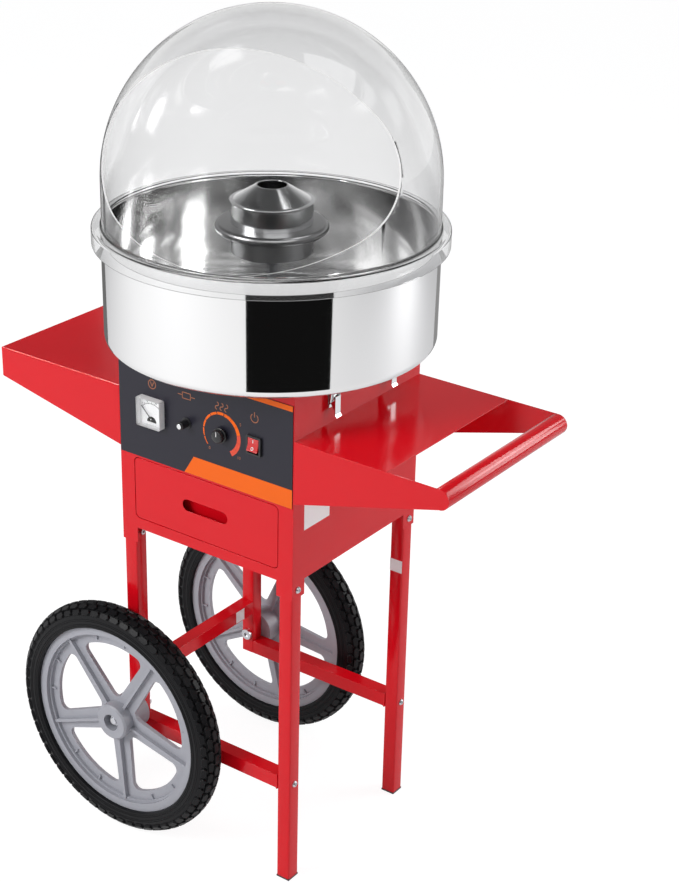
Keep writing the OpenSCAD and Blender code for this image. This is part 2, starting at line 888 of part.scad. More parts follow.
// Glass fuse that the cap carries in and out
module glass_fuse() {
    y0 = front_y - fuse_flange_t;
    color("white") in_frame() translate([fuse_x, 0, control_z])
        along_y(y0, y0 + fuse_glass_l) circle(fuse_glass_r);
}

// Heat control behind the panel, with its threaded bush and the bore for the stem
module heat_control() {
    back = sheet - half_d;
    color(zinc) in_frame() translate([knob_x, 0, control_z]) difference() {
        union() {
            along_y(back, back + pot_l) circle(pot_r);
            along_y(front_y - bush_out, back + pot_l / 2) circle(bush_r);
        }
        along_y(front_y - bush_out - over, front_y + stem_in) circle(stem_r + run_fit);
    }
}

// Heat knob with its stem and a raised pointer
module heat_knob() {
    y1 = front_y - bush_out - knob_gap;
    face = y1 - knob_l;
    color(black) in_frame() translate([knob_x, 0, control_z]) {
        along_y(y1 - knob_skirt_l, y1) circle(knob_skirt_r);
        along_y(face, y1 - knob_skirt_l / 2) circle(knob_r);
        along_y(y1 - knob_skirt_l, front_y + stem_in - knob_gap) circle(stem_r);
        along_y(face - pointer_t, face + pointer_t)
            translate([-pointer_w / 2, 0]) square([pointer_w, knob_r - pointer_w]);
    }
}

// Switch housing: a bezel on the panel and a body behind it, hollow for the rocker, with the rocker's pin
module switch_housing() {
    axis_y = front_y + rocker_axis_in;
    side = rocker_w / 2 + rocker_gap;
    deep = rocker_back + rocker_half * sin(rocker_tilt);
    color(black) in_frame() translate([switch_x, 0, control_z]) {
        difference() {
            union() {
                along_y(front_y - switch_lip, front_y) round_rect(switch_w, switch_h, switch_round);
                along_y(front_y - switch_lip / 2, front_y + switch_body_l)
                    square([switch_body_w, switch_body_h], center = true);
            }
            box([-side, front_y - switch_lip - over, -rocker_room], [side, axis_y + deep, rocker_room]);
        }
        translate([-switch_body_w / 2, axis_y, 0]) rotate([0, 90, 0])
            cylinder(r = rocker_pin_r, h = switch_body_w);
    }
}

// Rocker on its pin: two faces at a shallow angle, at rest pressed in at the upper end
module switch_rocker() {
    axis_y = front_y + rocker_axis_in;
    color([0.85, 0.1, 0.1]) in_frame() translate([switch_x, axis_y, control_z])
        rotate([-rocker_tilt, 0, 0]) along_x(-rocker_w / 2, rocker_w / 2) difference() {
            polygon([[rocker_back, -rocker_half / 2], [-rocker_end, -rocker_half], [-rocker_out, 0],
                [-rocker_end, rocker_half], [rocker_back, rocker_half / 2]]);
            circle(rocker_pin_r + run_fit);
        }
}

// Drawer's tray: floor, two sides and a back wall
module drawer_tray() {
    half = bin_w / 2;
    back = -half_d + drawer_l;
    color(red_paint) in_frame() {
        box([-half, bin_front, bin_low], [half, back, bin_low + sheet]);
        for (x = [-half, half - sheet])
            box([x, bin_front, bin_low], [x + sheet, back, bin_low + bin_h]);
        box([-half, back - sheet, bin_low], [half, back, bin_low + bin_h]);
    }
}

// Drawer's front: a plate with folded edges and the finger slot
module drawer_front() {
    color(red_paint) in_frame() translate([0, 0, slot_z]) difference() {
        along_y(-half_d, bin_front) round_rect(drawer_w, drawer_h, drawer_round);
        along_y(sheet - half_d, bin_front + over)
            round_rect(drawer_w - 2 * sheet, drawer_h - 2 * sheet, drawer_round - sheet);
        along_y(-half_d - over, bin_front) slot(slot_l, slot_h);
    }
    color(red_paint) in_frame() difference() {
        box([-bin_w / 2, sheet / 2 - half_d, bin_low], [bin_w / 2, bin_front, bin_low + bin_h]);
        box([sheet - bin_w / 2, bin_front - return_l, bin_low + sheet],
            [bin_w / 2 - sheet, bin_front + over, bin_low + bin_h + over]);
    }
}

// Runners folded from sheet, fixed to the cabinet's sides under the drawer
module drawer_runners() {
    in_x = bin_w / 2 - runner_lip;
    color(zinc) in_frame() for (m = [0, 1]) mirror([m, 0, 0]) {
        box([in_x, -runner_l / 2, runner_top - sheet], [half_w - sheet, runner_l / 2, runner_top]);
        box([half_w - 2 * sheet, -runner_l / 2, runner_top - sheet],
            [half_w - sheet, runner_l / 2, runner_top + runner_up]);
    }
}

// Solid outline of the bowl, for its outer and inner faces
module bowl_2d(r, low, high, corner) {
    translate([0, low]) square([r - corner, high - low]);
    translate([0, low + corner]) square([r, high - low - corner]);
    translate([r - corner, low + corner]) circle(corner);
}

// Bowl with a rolled rim, a neck round the shaft, floor ridges and four catches under its floor
module bowl() {
    floor_z = cab_top + bowl_wall;
    color(steel) in_frame() {
        rotate_extrude() {
            difference() {
                bowl_2d(bowl_r, cab_top, rim_z - bead_r, bowl_round);
                bowl_2d(bowl_r - bowl_wall, floor_z, rim_z + over, bowl_round - bowl_wall);
                translate([0, cab_top - over]) square([neck_r, bowl_h]);
            }
            translate([bowl_r, rim_z - bead_r]) circle(bead_r);
            translate([neck_r, cab_top]) square([bowl_wall, neck_h]);
            for (s = ridge_shares) intersection() {
                translate([s * bowl_r, floor_z]) circle(ridge_r);
                translate([0, floor_z - bowl_wall / 2]) square([bowl_r, bowl_h]);
            }
        }
        for (m = [0, 1], sy = [-1, 1]) mirror([m, 0, 0]) translate([half_w, sy * latch_y, 0]) {
            box([catch_in, -catch_w / 2, cab_top - catch_drop],
                [catch_in + catch_t, catch_w / 2, cab_top + bowl_wall / 2]);
            box([catch_in, -catch_w / 2, cab_top - catch_drop],
                [catch_out, catch_w / 2, cab_top - catch_drop + catch_t]);
        }
    }
}

// Oval of the serving mouth, made of two long arcs and two round ends
module mouth_2d() {
    for (x = [-1, 1]) translate([x * mouth_end_x, 0]) circle(mouth_end_r);
    intersection() {
        translate([0, mouth_low]) circle(mouth_big_r);
        translate([0, -mouth_low]) circle(mouth_big_r);
        square([2 * mouth_join, 2 * mouth_half_h], center = true);
    }
}

// Half outline of the dome: a quarter circle on a straight wall, and the lip round its foot
module dome_2d(inset, lip_low, lip_high) {
    r = dome_r - inset;
    intersection() {
        translate([0, dome_mid_z]) circle(r);
        translate([0, dome_mid_z]) square([r, r]);
    }
    translate([0, lip_low]) square([r, dome_mid_z - lip_low]);
    translate([0, lip_low]) square([lip_r - inset, lip_high - lip_round - lip_low]);
    translate([0, lip_low]) square([lip_r - lip_round, lip_high - lip_low]);
    translate([lip_r - lip_round, lip_high - lip_round]) circle(lip_round - inset);
}

// Clear dome that rests on the bowl's rim, with the serving mouth cut out
module dome() {
    low = seat_z - lip_drop;
    color([0.9, 0.95, 0.97, 0.3]) in_frame() difference() {
        rotate_extrude() difference() {
            dome_2d(0, low, seat_z + dome_wall);
            dome_2d(dome_wall, low - over, seat_z);
        }
        translate([0, 0, dome_mid_z]) rotate([0, 0, mouth_turn]) rotate([90 - mouth_tilt, 0, 0])
            linear_extrude(height = dome_r + lip_r) mouth_2d();
    }
}

// Lower half of the spinning head: drum with a floor, a boss on the shaft and the wide flange
module head_base() {
    in = drum_r - drum_wall;
    flange_mid = flange_r - flange_t / 2;
    color(alu) in_frame() rotate_extrude() {
        translate([shaft_r, head_low]) square([head_hub_r - shaft_r, head_hub_h]);
        translate([shaft_r, head_low]) square([drum_r - shaft_r, head_floor]);
        translate([in, head_low]) square([drum_wall, flange_top - head_low]);
        translate([in, flange_low]) square([flange_mid - in, flange_t]);
        translate([flange_mid, flange_low + flange_t / 2]) circle(flange_t / 2);
    }
}

// Upper half of the head: drum, beaded edge and the cone with the sugar opening
module head_cover() {
    out = drum_r + bead_out;
    in = drum_r - drum_wall;
    color(alu) in_frame() rotate_extrude() {
        translate([in, flange_top]) square([drum_wall, drum_top - flange_top]);
        translate([in, drum_top - bead_h]) square([out - in, bead_h]);
        polygon([[in, drum_top - bead_h], [out - bead_h, drum_top], [feed_r + feed_lip, cone_top],
            [feed_r, cone_top], [feed_r, cone_top - bead_h]]);
    }
}

// Heating ribbon, a band that stands on the head's floor
module heating_ribbon() {
    color([0.55, 0.4, 0.3]) in_frame() translate([0, 0, head_low + head_floor])
        linear_extrude(height = ribbon_h) difference() {
            circle(ribbon_r);
            circle(ribbon_r - ribbon_t);
        }
}

// Shaft from the motor up to the head
module spinner_shaft() {
    color(steel) in_frame() translate([0, 0, motor_top - shaft_sink])
        cylinder(r = shaft_r, h = head_low + head_hub_h - motor_top + shaft_sink);
}

// Insulating sleeve that carries the slip rings
module ring_sleeve() {
    color(black) in_frame() translate([0, 0, sleeve_low]) linear_extrude(height = sleeve_h) difference() {
        circle(sleeve_r);
        circle(shaft_r);
    }
}

// Height of a slip ring's lower face
function ring_z(i) = sleeve_low + ring_gap + i * (ring_h + ring_gap);

// Two brass slip rings that feed the heating ribbon
module slip_rings() {
    color([0.8, 0.6, 0.25]) in_frame() for (i = [0, 1]) translate([0, 0, ring_z(i)])
        linear_extrude(height = ring_h) difference() {
            circle(ring_r);
            circle(sleeve_r);
        }
}

// Brush holder that hangs from the top plate beside the rings, with a pocket for each brush
module brush_holder() {
    color(black) in_frame() difference() {
        box([holder_in, -holder_w / 2, sleeve_low], [holder_in + holder_l, holder_w / 2, cab_top - sheet]);
        for (i = [0, 1]) translate([holder_in - over, -brush_w / 2, ring_z(i) + (ring_h - brush_h) / 2])
            cube([brush_l + over, brush_w, brush_h]);
    }
}

// Carbon brushes, one to each slip ring
module carbon_brushes() {
    tip = ring_r + slide_gap;
    color([0.2, 0.2, 0.2]) in_frame() for (i = [0, 1])
        translate([tip, -brush_w / 2, ring_z(i) + (ring_h - brush_h) / 2])
            cube([holder_in + brush_l - tip, brush_w, brush_h]);
}

// Motor casing on its square plate, bored for the shaft
module motor() {
    half = motor_plate_w / 2;
    color(zinc) in_frame() difference() {
        union() {
            box([-half, -half, motor_low], [half, half, motor_low + motor_plate_t]);
            translate([0, 0, motor_low]) cylinder(r = motor_r, h = motor_top - motor_cap_h - motor_low);
            translate([0, 0, motor_low]) cylinder(r = motor_r / 2, h = motor_top - motor_low);
        }
        translate([0, 0, motor_top - shaft_sink - slide_gap])
            cylinder(r = shaft_r + run_fit, h = shaft_sink + slide_gap + over);
    }
}

// Rubber mounts between the deck and the motor's plate
module motor_mounts() {
    color(black) in_frame() for (x = [-1, 1], y = [-1, 1])
        translate([x * mount_at, y * mount_at, deck_top]) cylinder(r = mount_r, h = mount_h);
}

// Puts a latch piece on a side: m mirrors it to the left, sy is -1 at the front and 1 at the back
module on_side(m, sy) {
    in_frame() mirror([m, 0, 0]) translate([half_w, sy * latch_y, 0]) children();
}

// One latch base: a plate on the cabinet's side with two ears and the lever's pin
module latch_base_shape() {
    low = latch_pivot_z - latch_base_down;
    box([0, -latch_base_w / 2, low], [latch_sheet, latch_base_w / 2, latch_pivot_z + latch_base_up]);
    for (y = [-ear_in - ear_t, ear_in])
        box([0, y, latch_pivot_z - ear_half],
            [latch_pivot_out + ear_half, y + ear_t, latch_pivot_z + ear_half]);
    translate([latch_pivot_out, ear_in + ear_t, latch_pivot_z]) rotate([90, 0, 0])
        cylinder(r = latch_pin_r, h = 2 * (ear_in + ear_t));
}

module latch_bases() {
    color(steel) for (m = [0, 1], sy = [-1, 1]) on_side(m, sy) latch_base_shape();
}

// One lever: two cheeks on the pin and a face plate with a tip that is bent outwards
module latch_lever(m, sy) {
    low = latch_pivot_z - lever_l;
    width = 2 * (cheek_in + cheek_t);
    face = lever_out + latch_sheet;
    back = latch_pivot_out - cheek_half;
    tip = lever_tip * [sin(lever_tip_turn), -cos(lever_tip_turn)];
    color(steel) on_side(m, sy) difference() {
        union() {
            for (y = [-width / 2, cheek_in]) along_y(y, y + cheek_t) {
                translate([latch_pivot_out, latch_pivot_z]) circle(cheek_r);
                polygon([[back, latch_pivot_z], [face - latch_sheet / 2, latch_pivot_z],
                    [face - latch_sheet / 2, low + lever_tip], [back, bail_low_z - cheek_r]]);
            }
            along_y(-width / 2, width / 2) polygon([[lever_out, latch_pivot_z], [lever_out, low],
                [lever_out, low] + tip, [face, low] + tip, [face, low], [face, latch_pivot_z]]);
        }
        translate([latch_pivot_out, width, latch_pivot_z]) rotate([90, 0, 0])
            cylinder(r = latch_pin_r + run_fit, h = 2 * width);
        translate([latch_pivot_out, width, bail_low_z]) rotate([90, 0, 0])
            cylinder(r = bail_wire_r + run_fit, h = 2 * width);
    }
}

module latch_lever_rf() { latch_lever(0, -1); }
module latch_lever_rb() { latch_lever(0, 1); }
module latch_lever_lf() { latch_lever(1, -1); }
module latch_lever_lb() { latch_lever(1, 1); }

// One wire bail: two pins in the lever, two side wires and the bar over the catch
module latch_bail(m, sy) {
    lean = atan((bail_out - latch_pivot_out) / (bail_top_z - bail_low_z));
    reach = (bail_top_z - bail_low_z) / cos(lean);
    pin_in = cheek_in - slide_gap;
    color(steel) on_side(m, sy) {
        for (s = [-1, 1]) {
            translate([latch_pivot_out, s * bail_half, bail_low_z]) {
                rotate([0, lean, 0]) cylinder(r = bail_wire_r, h = reach);
                rotate([90 * s, 0, 0]) cylinder(r = bail_wire_r, h = bail_half - pin_in);
                sphere(bail_wire_r);
            }
            translate([bail_out, s * bail_half, bail_top_z]) sphere(bail_wire_r);
        }
        translate([bail_out, bail_half, bail_top_z]) rotate([90, 0, 0])
            cylinder(r = bail_wire_r, h = 2 * bail_half);
    }
}

module latch_bail_rf() { latch_bail(0, -1); }
module latch_bail_rb() { latch_bail(0, 1); }
module latch_bail_lf() { latch_bail(1, -1); }
module latch_bail_lb() { latch_bail(1, 1); }

front_left_leg();
back_left_leg();
front_right_leg();
back_right_leg();
front_side_bar();
back_side_bar();
left_cross_bar();
leg_feet();
frame_bolts();
front_wheel();
front_tyre();
back_wheel();
back_tyre();
axle_bolts();
cabinet_front();
cabinet_left_side();
cabinet_right_side();
back_cover();
cabinet_top();
motor_deck();
control_panel();
left_shelf();
handle_tray();
push_handle();
tray_bolts();
mains_inlet();
meter_case();
meter_needle();
meter_window();
fuse_holder();
fuse_cap();
glass_fuse();
heat_control();
heat_knob();
switch_housing();
switch_rocker();
drawer_tray();
drawer_front();
drawer_runners();
bowl();
dome();
head_base();
head_cover();
heating_ribbon();
spinner_shaft();
ring_sleeve();
slip_rings();
brush_holder();
carbon_brushes();
motor();
motor_mounts();
latch_bases();
latch_lever_rf();
latch_lever_rb();
latch_lever_lf();
latch_lever_lb();
latch_bail_rf();
latch_bail_rb();
latch_bail_lf();
latch_bail_lb();
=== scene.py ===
"""Cotton candy cart: the looks of each piece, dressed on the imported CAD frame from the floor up."""
import math

import bmesh
import bpy
from mathutils import Matrix, Vector


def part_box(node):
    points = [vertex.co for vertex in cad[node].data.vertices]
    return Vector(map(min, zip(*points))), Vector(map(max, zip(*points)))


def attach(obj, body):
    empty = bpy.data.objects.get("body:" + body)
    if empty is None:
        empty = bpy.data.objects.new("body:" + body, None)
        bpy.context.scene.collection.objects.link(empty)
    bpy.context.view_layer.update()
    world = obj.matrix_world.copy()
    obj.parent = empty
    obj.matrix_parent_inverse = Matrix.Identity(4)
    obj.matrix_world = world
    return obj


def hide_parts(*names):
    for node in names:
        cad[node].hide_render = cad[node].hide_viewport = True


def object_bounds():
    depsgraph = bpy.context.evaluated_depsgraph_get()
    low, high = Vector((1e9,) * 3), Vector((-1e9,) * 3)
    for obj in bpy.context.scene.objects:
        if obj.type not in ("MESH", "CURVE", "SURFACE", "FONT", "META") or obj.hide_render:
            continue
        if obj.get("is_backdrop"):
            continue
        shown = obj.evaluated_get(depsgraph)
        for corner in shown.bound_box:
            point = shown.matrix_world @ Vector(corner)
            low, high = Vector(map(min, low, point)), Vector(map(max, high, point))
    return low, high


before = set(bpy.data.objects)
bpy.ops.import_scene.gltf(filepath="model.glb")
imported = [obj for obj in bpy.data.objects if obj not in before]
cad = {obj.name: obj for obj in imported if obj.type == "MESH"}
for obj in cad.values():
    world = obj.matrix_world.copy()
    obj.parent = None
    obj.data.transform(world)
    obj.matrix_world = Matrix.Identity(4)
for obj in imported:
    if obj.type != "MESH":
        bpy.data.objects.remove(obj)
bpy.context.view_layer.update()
scene = bpy.context.scene

# Studio
# White all round with a pale floor, a broad soft light at the front left and weaker ones behind and above.
# Two lights reach only the handle and the folded sheets, and only mirrors see the cloths and the card.
mid_x = -0.0075
turn, rise, roll = 0.6154, 0.4326, 0.0233
back = Vector((math.sin(turn) * math.cos(rise), -math.cos(turn) * math.cos(rise), math.sin(rise)))
right = Vector((math.cos(turn), math.sin(turn), 0))
up = back.cross(right)
lens = bpy.data.cameras.new("photo_lens")
lens.lens, lens.sensor_width = 76.35, 36
camera = bpy.data.objects.new("photo_camera", lens)
camera.matrix_world = Matrix.Translation((1.6606, -2.16747, 1.95675)) @ Matrix((
    right * math.cos(roll) + up * math.sin(roll), up * math.cos(roll) - right * math.sin(roll), back,
)).transposed().to_4x4()
scene.collection.objects.link(camera)
scene.camera = camera
scene.view_settings.view_transform = "Standard"


def area_light(name, place, aim, wide, tall, power):
    """A soft light at one place that faces another."""
    lamp = bpy.data.lights.new(name, "AREA")
    lamp.shape, lamp.size, lamp.size_y, lamp.energy = "RECTANGLE", wide, tall, power
    o = bpy.data.objects.new(name, lamp)
    o.location = place
    o.rotation_mode = "QUATERNION"
    o.rotation_quaternion = (Vector(aim) - Vector(place)).to_track_quat("-Z", "Y")
    scene.collection.objects.link(o)
    return o


key_light = area_light("key_light", (-1.8, -3.3, 2.7), (0, 0, 0.8), 2.0, 2.0, 112)
side_light = area_light("side_light", (2.2, 2.35, 1.45), (0.3, 0, 0.75), 1.1, 1.8, 36)
handle_light = area_light("handle_light", (1.2, 1.48, 1.85), (0.36, 0, 0.8), 1.0, 1.0, 20)
fold_light = area_light("fold_light", (-1.5, -1.22, 2.63), (0, -0.17, 0.8), 1.1, 1.1, 190)
handle_light.visible_diffuse = fold_light.visible_diffuse = False
area_light("top_light", (0.9, 0.9, 3.4), (0.1, 0, 0.8), 1.2, 1.2, 13).visible_glossy = False

world = bpy.data.worlds.new("white_studio")
scene.world = world
world.use_nodes = True
wn, wl = world.node_tree.nodes, world.node_tree.links
wn.clear()
rays = wn.new("ShaderNodeLightPath")
backdrop = wn.new("ShaderNodeBackground")
backdrop.inputs["Color"].default_value = (1, 1, 1, 1)
soft = wn.new("ShaderNodeBackground")
soft.inputs["Strength"].default_value = 0.4
soft.inputs["Color"].default_value = (0.98, 0.985, 1, 1)
mirrored = wn.new("ShaderNodeBackground")
direction = wn.new("ShaderNodeTexCoord")
parts = wn.new("ShaderNodeSeparateXYZ")
wl.new(direction.outputs["Generated"], parts.inputs["Vector"])
height = wn.new("ShaderNodeMapRange")
height.inputs["From Min"].default_value = -1
wl.new(parts.outputs["Z"], height.inputs["Value"])
ceiling = wn.new("ShaderNodeValToRGB")
ramp = ceiling.color_ramp.elements
ramp[0].position, ramp[0].color = 0.5, (0.92, 0.92, 0.92, 1)
ramp[1].position, ramp[1].color = 0.95, (0.06, 0.06, 0.06, 1)
for at, level in ((0.6, 0.7), (0.7, 0.34), (0.8, 0.16)):
    ramp.new(at).color = (level, level, level, 1)
wl.new(height.outputs["Result"], ceiling.inputs["Fac"])
wl.new(ceiling.outputs["Color"], mirrored.inputs["Color"])


def feed(links, socket, value):
    """A plain value or a link on a socket."""
    if isinstance(value, (int, float)):
        socket.default_value = value
    else:
        links.new(value, socket)


def node_math(nodes, links, operation, a, b):
    """One sum in a node tree."""
    node = nodes.new("ShaderNodeMath")
    node.operation = operation
    feed(links, node.inputs[0], a)
    feed(links, node.inputs[1], b)
    return node.outputs["Value"]


met_mirror = node_math(wn, wl, "MINIMUM", rays.outputs["Glossy Depth"], 1.0)
through = rays.outputs["Is Transmission Ray"]
glossy = wn.new("ShaderNodeMixShader")
mirror_in_glass = node_math(wn, wl, "MULTIPLY", through, met_mirror)
wl.new(node_math(wn, wl, "MAXIMUM", rays.outputs["Is Glossy Ray"], mirror_in_glass), glossy.inputs["Fac"])
wl.new(soft.outputs["Background"], glossy.inputs[1])
wl.new(mirrored.outputs["Background"], glossy.inputs[2])
glass_view, behind_glass = wn.new("ShaderNodeBackground"), wn.new("ShaderNodeMixShader")
glass_view.inputs["Strength"].default_value = 0.86
glass_view.inputs["Color"].default_value = (1, 1, 1, 1)
no_mirror_yet = node_math(wn, wl, "SUBTRACT", 1.0, met_mirror)
wl.new(node_math(wn, wl, "MULTIPLY", through, no_mirror_yet), behind_glass.inputs["Fac"])
wl.new(glossy.outputs["Shader"], behind_glass.inputs[1])
wl.new(glass_view.outputs["Background"], behind_glass.inputs[2])
sky = wn.new("ShaderNodeMixShader")
wl.new(rays.outputs["Is Camera Ray"], sky.inputs["Fac"])
wl.new(behind_glass.outputs["Shader"], sky.inputs[1])
wl.new(backdrop.outputs["Background"], sky.inputs[2])
wl.new(sky.outputs["Shader"], wn.new("ShaderNodeOutputWorld").inputs["Surface"])

pale = bpy.data.materials.new("pale_floor")
pale.use_nodes = True
pn, pl = pale.node_tree.nodes, pale.node_tree.links
pn["Principled BSDF"].inputs["Base Color"].default_value = (0.86, 0.86, 0.87, 1)
pn["Principled BSDF"].inputs["Roughness"].default_value = 0.7
glow = pn.new("ShaderNodeEmission")
glow.inputs["Strength"].default_value = 1.24
lit = pn.new("ShaderNodeMixShader")
floor_rays = pn.new("ShaderNodeLightPath")
spot, spot_parts = pn.new("ShaderNodeNewGeometry"), pn.new("ShaderNodeSeparateXYZ")
pl.new(spot.outputs["Position"], spot_parts.inputs["Vector"])
# In mirrors the floor shows painted light: its glow falls from the front to the back, as a lamp's falloff
# would.
painted_falloff = pn.new("ShaderNodeMapRange")
for socket, value in (("From Min", -1.3), ("From Max", 1.2), ("To Min", 0.58), ("To Max", 0.06)):
    painted_falloff.inputs[socket].default_value = value
pl.new(spot_parts.outputs["Y"], painted_falloff.inputs["Value"])
in_mirrors = node_math(pn, pl, "MULTIPLY", floor_rays.outputs["Is Glossy Ray"], painted_falloff.outputs["Result"])
in_glass = node_math(pn, pl, "MULTIPLY", floor_rays.outputs["Is Transmission Ray"], 0.6)
plain_view = node_math(pn, pl, "MULTIPLY", floor_rays.outputs["Is Camera Ray"], 0.72)
reflected = node_math(pn, pl, "MAXIMUM", in_mirrors, in_glass)
pl.new(node_math(pn, pl, "MAXIMUM", plain_view, reflected), lit.inputs["Fac"])
pl.new(pn["Principled BSDF"].outputs["BSDF"], lit.inputs[1])
pl.new(glow.outputs["Emission"], lit.inputs[2])
pl.new(lit.outputs["Shader"], pn["Material Output"].inputs["Surface"])
ground = bpy.data.meshes.new("floor")
floor_half, floor_z = 12, -0.0005
floor_corners = [(sx * floor_half, sy * floor_half, floor_z) for sx, sy in ((-1, -1), (1, -1), (1, 1), (-1, 1))]
ground.from_pydata(floor_corners, [], [(0, 1, 2, 3)])
ground.materials.append(pale)
floor = bpy.data.objects.new("floor", ground)
scene.collection.objects.link(floor)
floor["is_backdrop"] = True


def flag(name, start, end, low, high, level):
    """A cloth on part of a circle round the cart, by angle from the front, that only mirrors see."""
    cloth = bpy.data.materials.new(name + "_cloth")
    cloth.use_nodes = True
    n, l = cloth.node_tree.nodes, cloth.node_tree.links
    unlit = n.new("ShaderNodeEmission")
    unlit.inputs["Color"].default_value = (level, level, level, 1)
    l.new(unlit.outputs["Emission"], n["Material Output"].inputs["Surface"])
    away, steps = 1.7, 24
    at = [math.radians(start + (end - start) * i / steps) for i in range(steps + 1)]
    mesh = bpy.data.meshes.new(name)
    mesh.from_pydata([(mid_x + away * math.sin(a), -away * math.cos(a), z) for a in at for z in (low, high)],
                     [], [(2 * i, 2 * i + 2, 2 * i + 3, 2 * i + 1) for i in range(steps)])
    mesh.materials.append(cloth)
    o = bpy.data.objects.new(name, mesh)
    o.visible_camera = o.visible_diffuse = o.visible_transmission = o.visible_shadow = False
    scene.collection.objects.link(o)
    o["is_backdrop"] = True


flag("dark_flag", 22, 75.5, 0, 1.5, 0.006)
flag("left_grey_flag", -128, -106, 0, 1.5, 0.16)
flag("right_grey_flag", 181, 199, 0, 1.5, 0.28)
flag("white_card", 16, 92, 1.5, 2.6, 2.0)

# Legs
# Four legs of 25 mm square steel tube, powder coated in a glossy red with a faint orange peel. The left
# pair ends at the side bars, and the right pair stands on caps.


def finish(name, colour, rough, metal=0.0, **sockets):
    """A Principled material with plain values on its own sockets."""
    m = bpy.data.materials.new(name)
    m.use_nodes = True
    s = m.node_tree.nodes["Principled BSDF"].inputs
    s["Base Color"].default_value = (*colour, 1)
    s["Roughness"].default_value = rough
    s["Metallic"].default_value = metal
    for key, value in sockets.items():
        s[key.replace("_", " ")].default_value = value
    return m


def grain(m, size, bump, rough=0.0, shade=0.0):
    """Unevenness in object space: a fine bump, a drift of the roughness and a slight drift of the colour."""
    n, l = m.node_tree.nodes, m.node_tree.links
    s = n["Principled BSDF"].inputs
    where = n.new("ShaderNodeTexCoord")
    fine = n.new("ShaderNodeTexNoise")
    fine.inputs["Scale"].default_value = 1 / size
    fine.inputs["Detail"].default_value = 3
    l.new(where.outputs["Object"], fine.inputs["Vector"])
    dent = n.new("ShaderNodeBump")
    dent.inputs["Strength"].default_value = bump
    dent.inputs["Distance"].default_value = size / 4
    l.new(fine.outputs["Fac"], dent.inputs["Height"])
    l.new(dent.outputs["Normal"], s["Normal"])
    wide = n.new("ShaderNodeTexNoise")
    wide.inputs["Scale"].default_value = 9
    wide.inputs["Detail"].default_value = 5
    l.new(where.outputs["Object"], wide.inputs["Vector"])
    if rough:
        spread = n.new("ShaderNodeMapRange")
        base = s["Roughness"].default_value
        spread.inputs["To Min"].default_value = max(base - rough, 0)
        spread.inputs["To Max"].default_value = base + rough
        l.new(wide.outputs["Fac"], spread.inputs["Value"])
        l.new(spread.outputs["Result"], s["Roughness"])
    if shade:
        tone = n.new("ShaderNodeMix")
        tone.data_type = "RGBA"
        colour = s["Base Color"].default_value[:]
        tone.inputs["A"].default_value = tuple(c * (1 - shade) for c in colour[:3]) + (1,)
        tone.inputs["B"].default_value = tuple(min(c * (1 + shade), 1) for c in colour[:3]) + (1,)
        l.new(wide.outputs["Fac"], tone.inputs["Factor"])
        l.new(tone.outputs["Result"], s["Base Color"])
    return m


def settle(name, mesh, coat, body, nodes=(), edge=32):
    """A finished mesh as a piece on its body, smooth but for its sharp edges, in place of its CAD nodes."""
    mesh.shade_smooth()
    mesh.set_sharp_from_angle(angle=math.radians(edge))
    mesh.materials.clear()
    mesh.materials.append(coat)
    o = bpy.data.objects.new(name, mesh)
    scene.collection.objects.link(o)
    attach(o, body)
    if nodes:
        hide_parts(*nodes)
    return o


def mesh_from(bm, name):
    """A mesh from a bmesh, with its normals outward."""
    bmesh.ops.recalc_face_normals(bm, faces=bm.faces)
    mesh = bpy.data.meshes.new(name)
    bm.to_mesh(mesh)
    bm.free()
    return mesh


def square_ring(bm, half, corner, z, centre):
    """A level ring of vertices round a square with rounded corners."""
    ring = []
    for k, (sx, sy) in enumerate(((1, 1), (-1, 1), (-1, -1), (1, -1))):
        for i in range(5):
            a = math.radians(90 * k + 22.5 * i)
            ring.append(bm.verts.new((centre.x + (sx * (half - corner) + corner * math.cos(a)),
                                      centre.y + (sy * (half - corner) + corner * math.sin(a)), z)))
    return ring


def skin(bm, rings):
    """Faces between each ring of vertices and the next."""
    for a, b in zip(rings, rings[1:]):
        for i in range(len(a)):
            j = (i + 1) % len(a)
            bm.faces.new((a[i], a[j], b[j], b[i]))


red_coat = grain(finish("red_powder_coat", (0.72, 0.0035, 0.011), 0.13, Specular_IOR_Level=0.28),
                 0.0016, 0.05, 0.04, 0.03)
tube_corner, tube_wall, bore_corner = 0.0025, 0.0015, 0.001
for leg in ("front_left_leg", "back_left_leg", "front_right_leg", "back_right_leg"):
    low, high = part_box(leg)
    middle = (low + high) / 2
    half = (high.x - low.x) / 2
    bm = bmesh.new()
    rings = [square_ring(bm, h, c, z, middle) for h, c, z in (
        (half, tube_corner, low.z), (half, tube_corner, high.z),
        (half - tube_wall, bore_corner, high.z), (half - tube_wall, bore_corner, low.z))]
    skin(bm, rings + rings[:1])
    settle(leg + "_tube", mesh_from(bm, leg + "_tube"), red_coat, "cart", [leg])

# Bars between the legs
# Two side bars run from the wheel legs to the standing legs, each with an end plate at its bolted end,
# and one cross bar joins the wheel legs. Their edges are eased as on drawn tube.


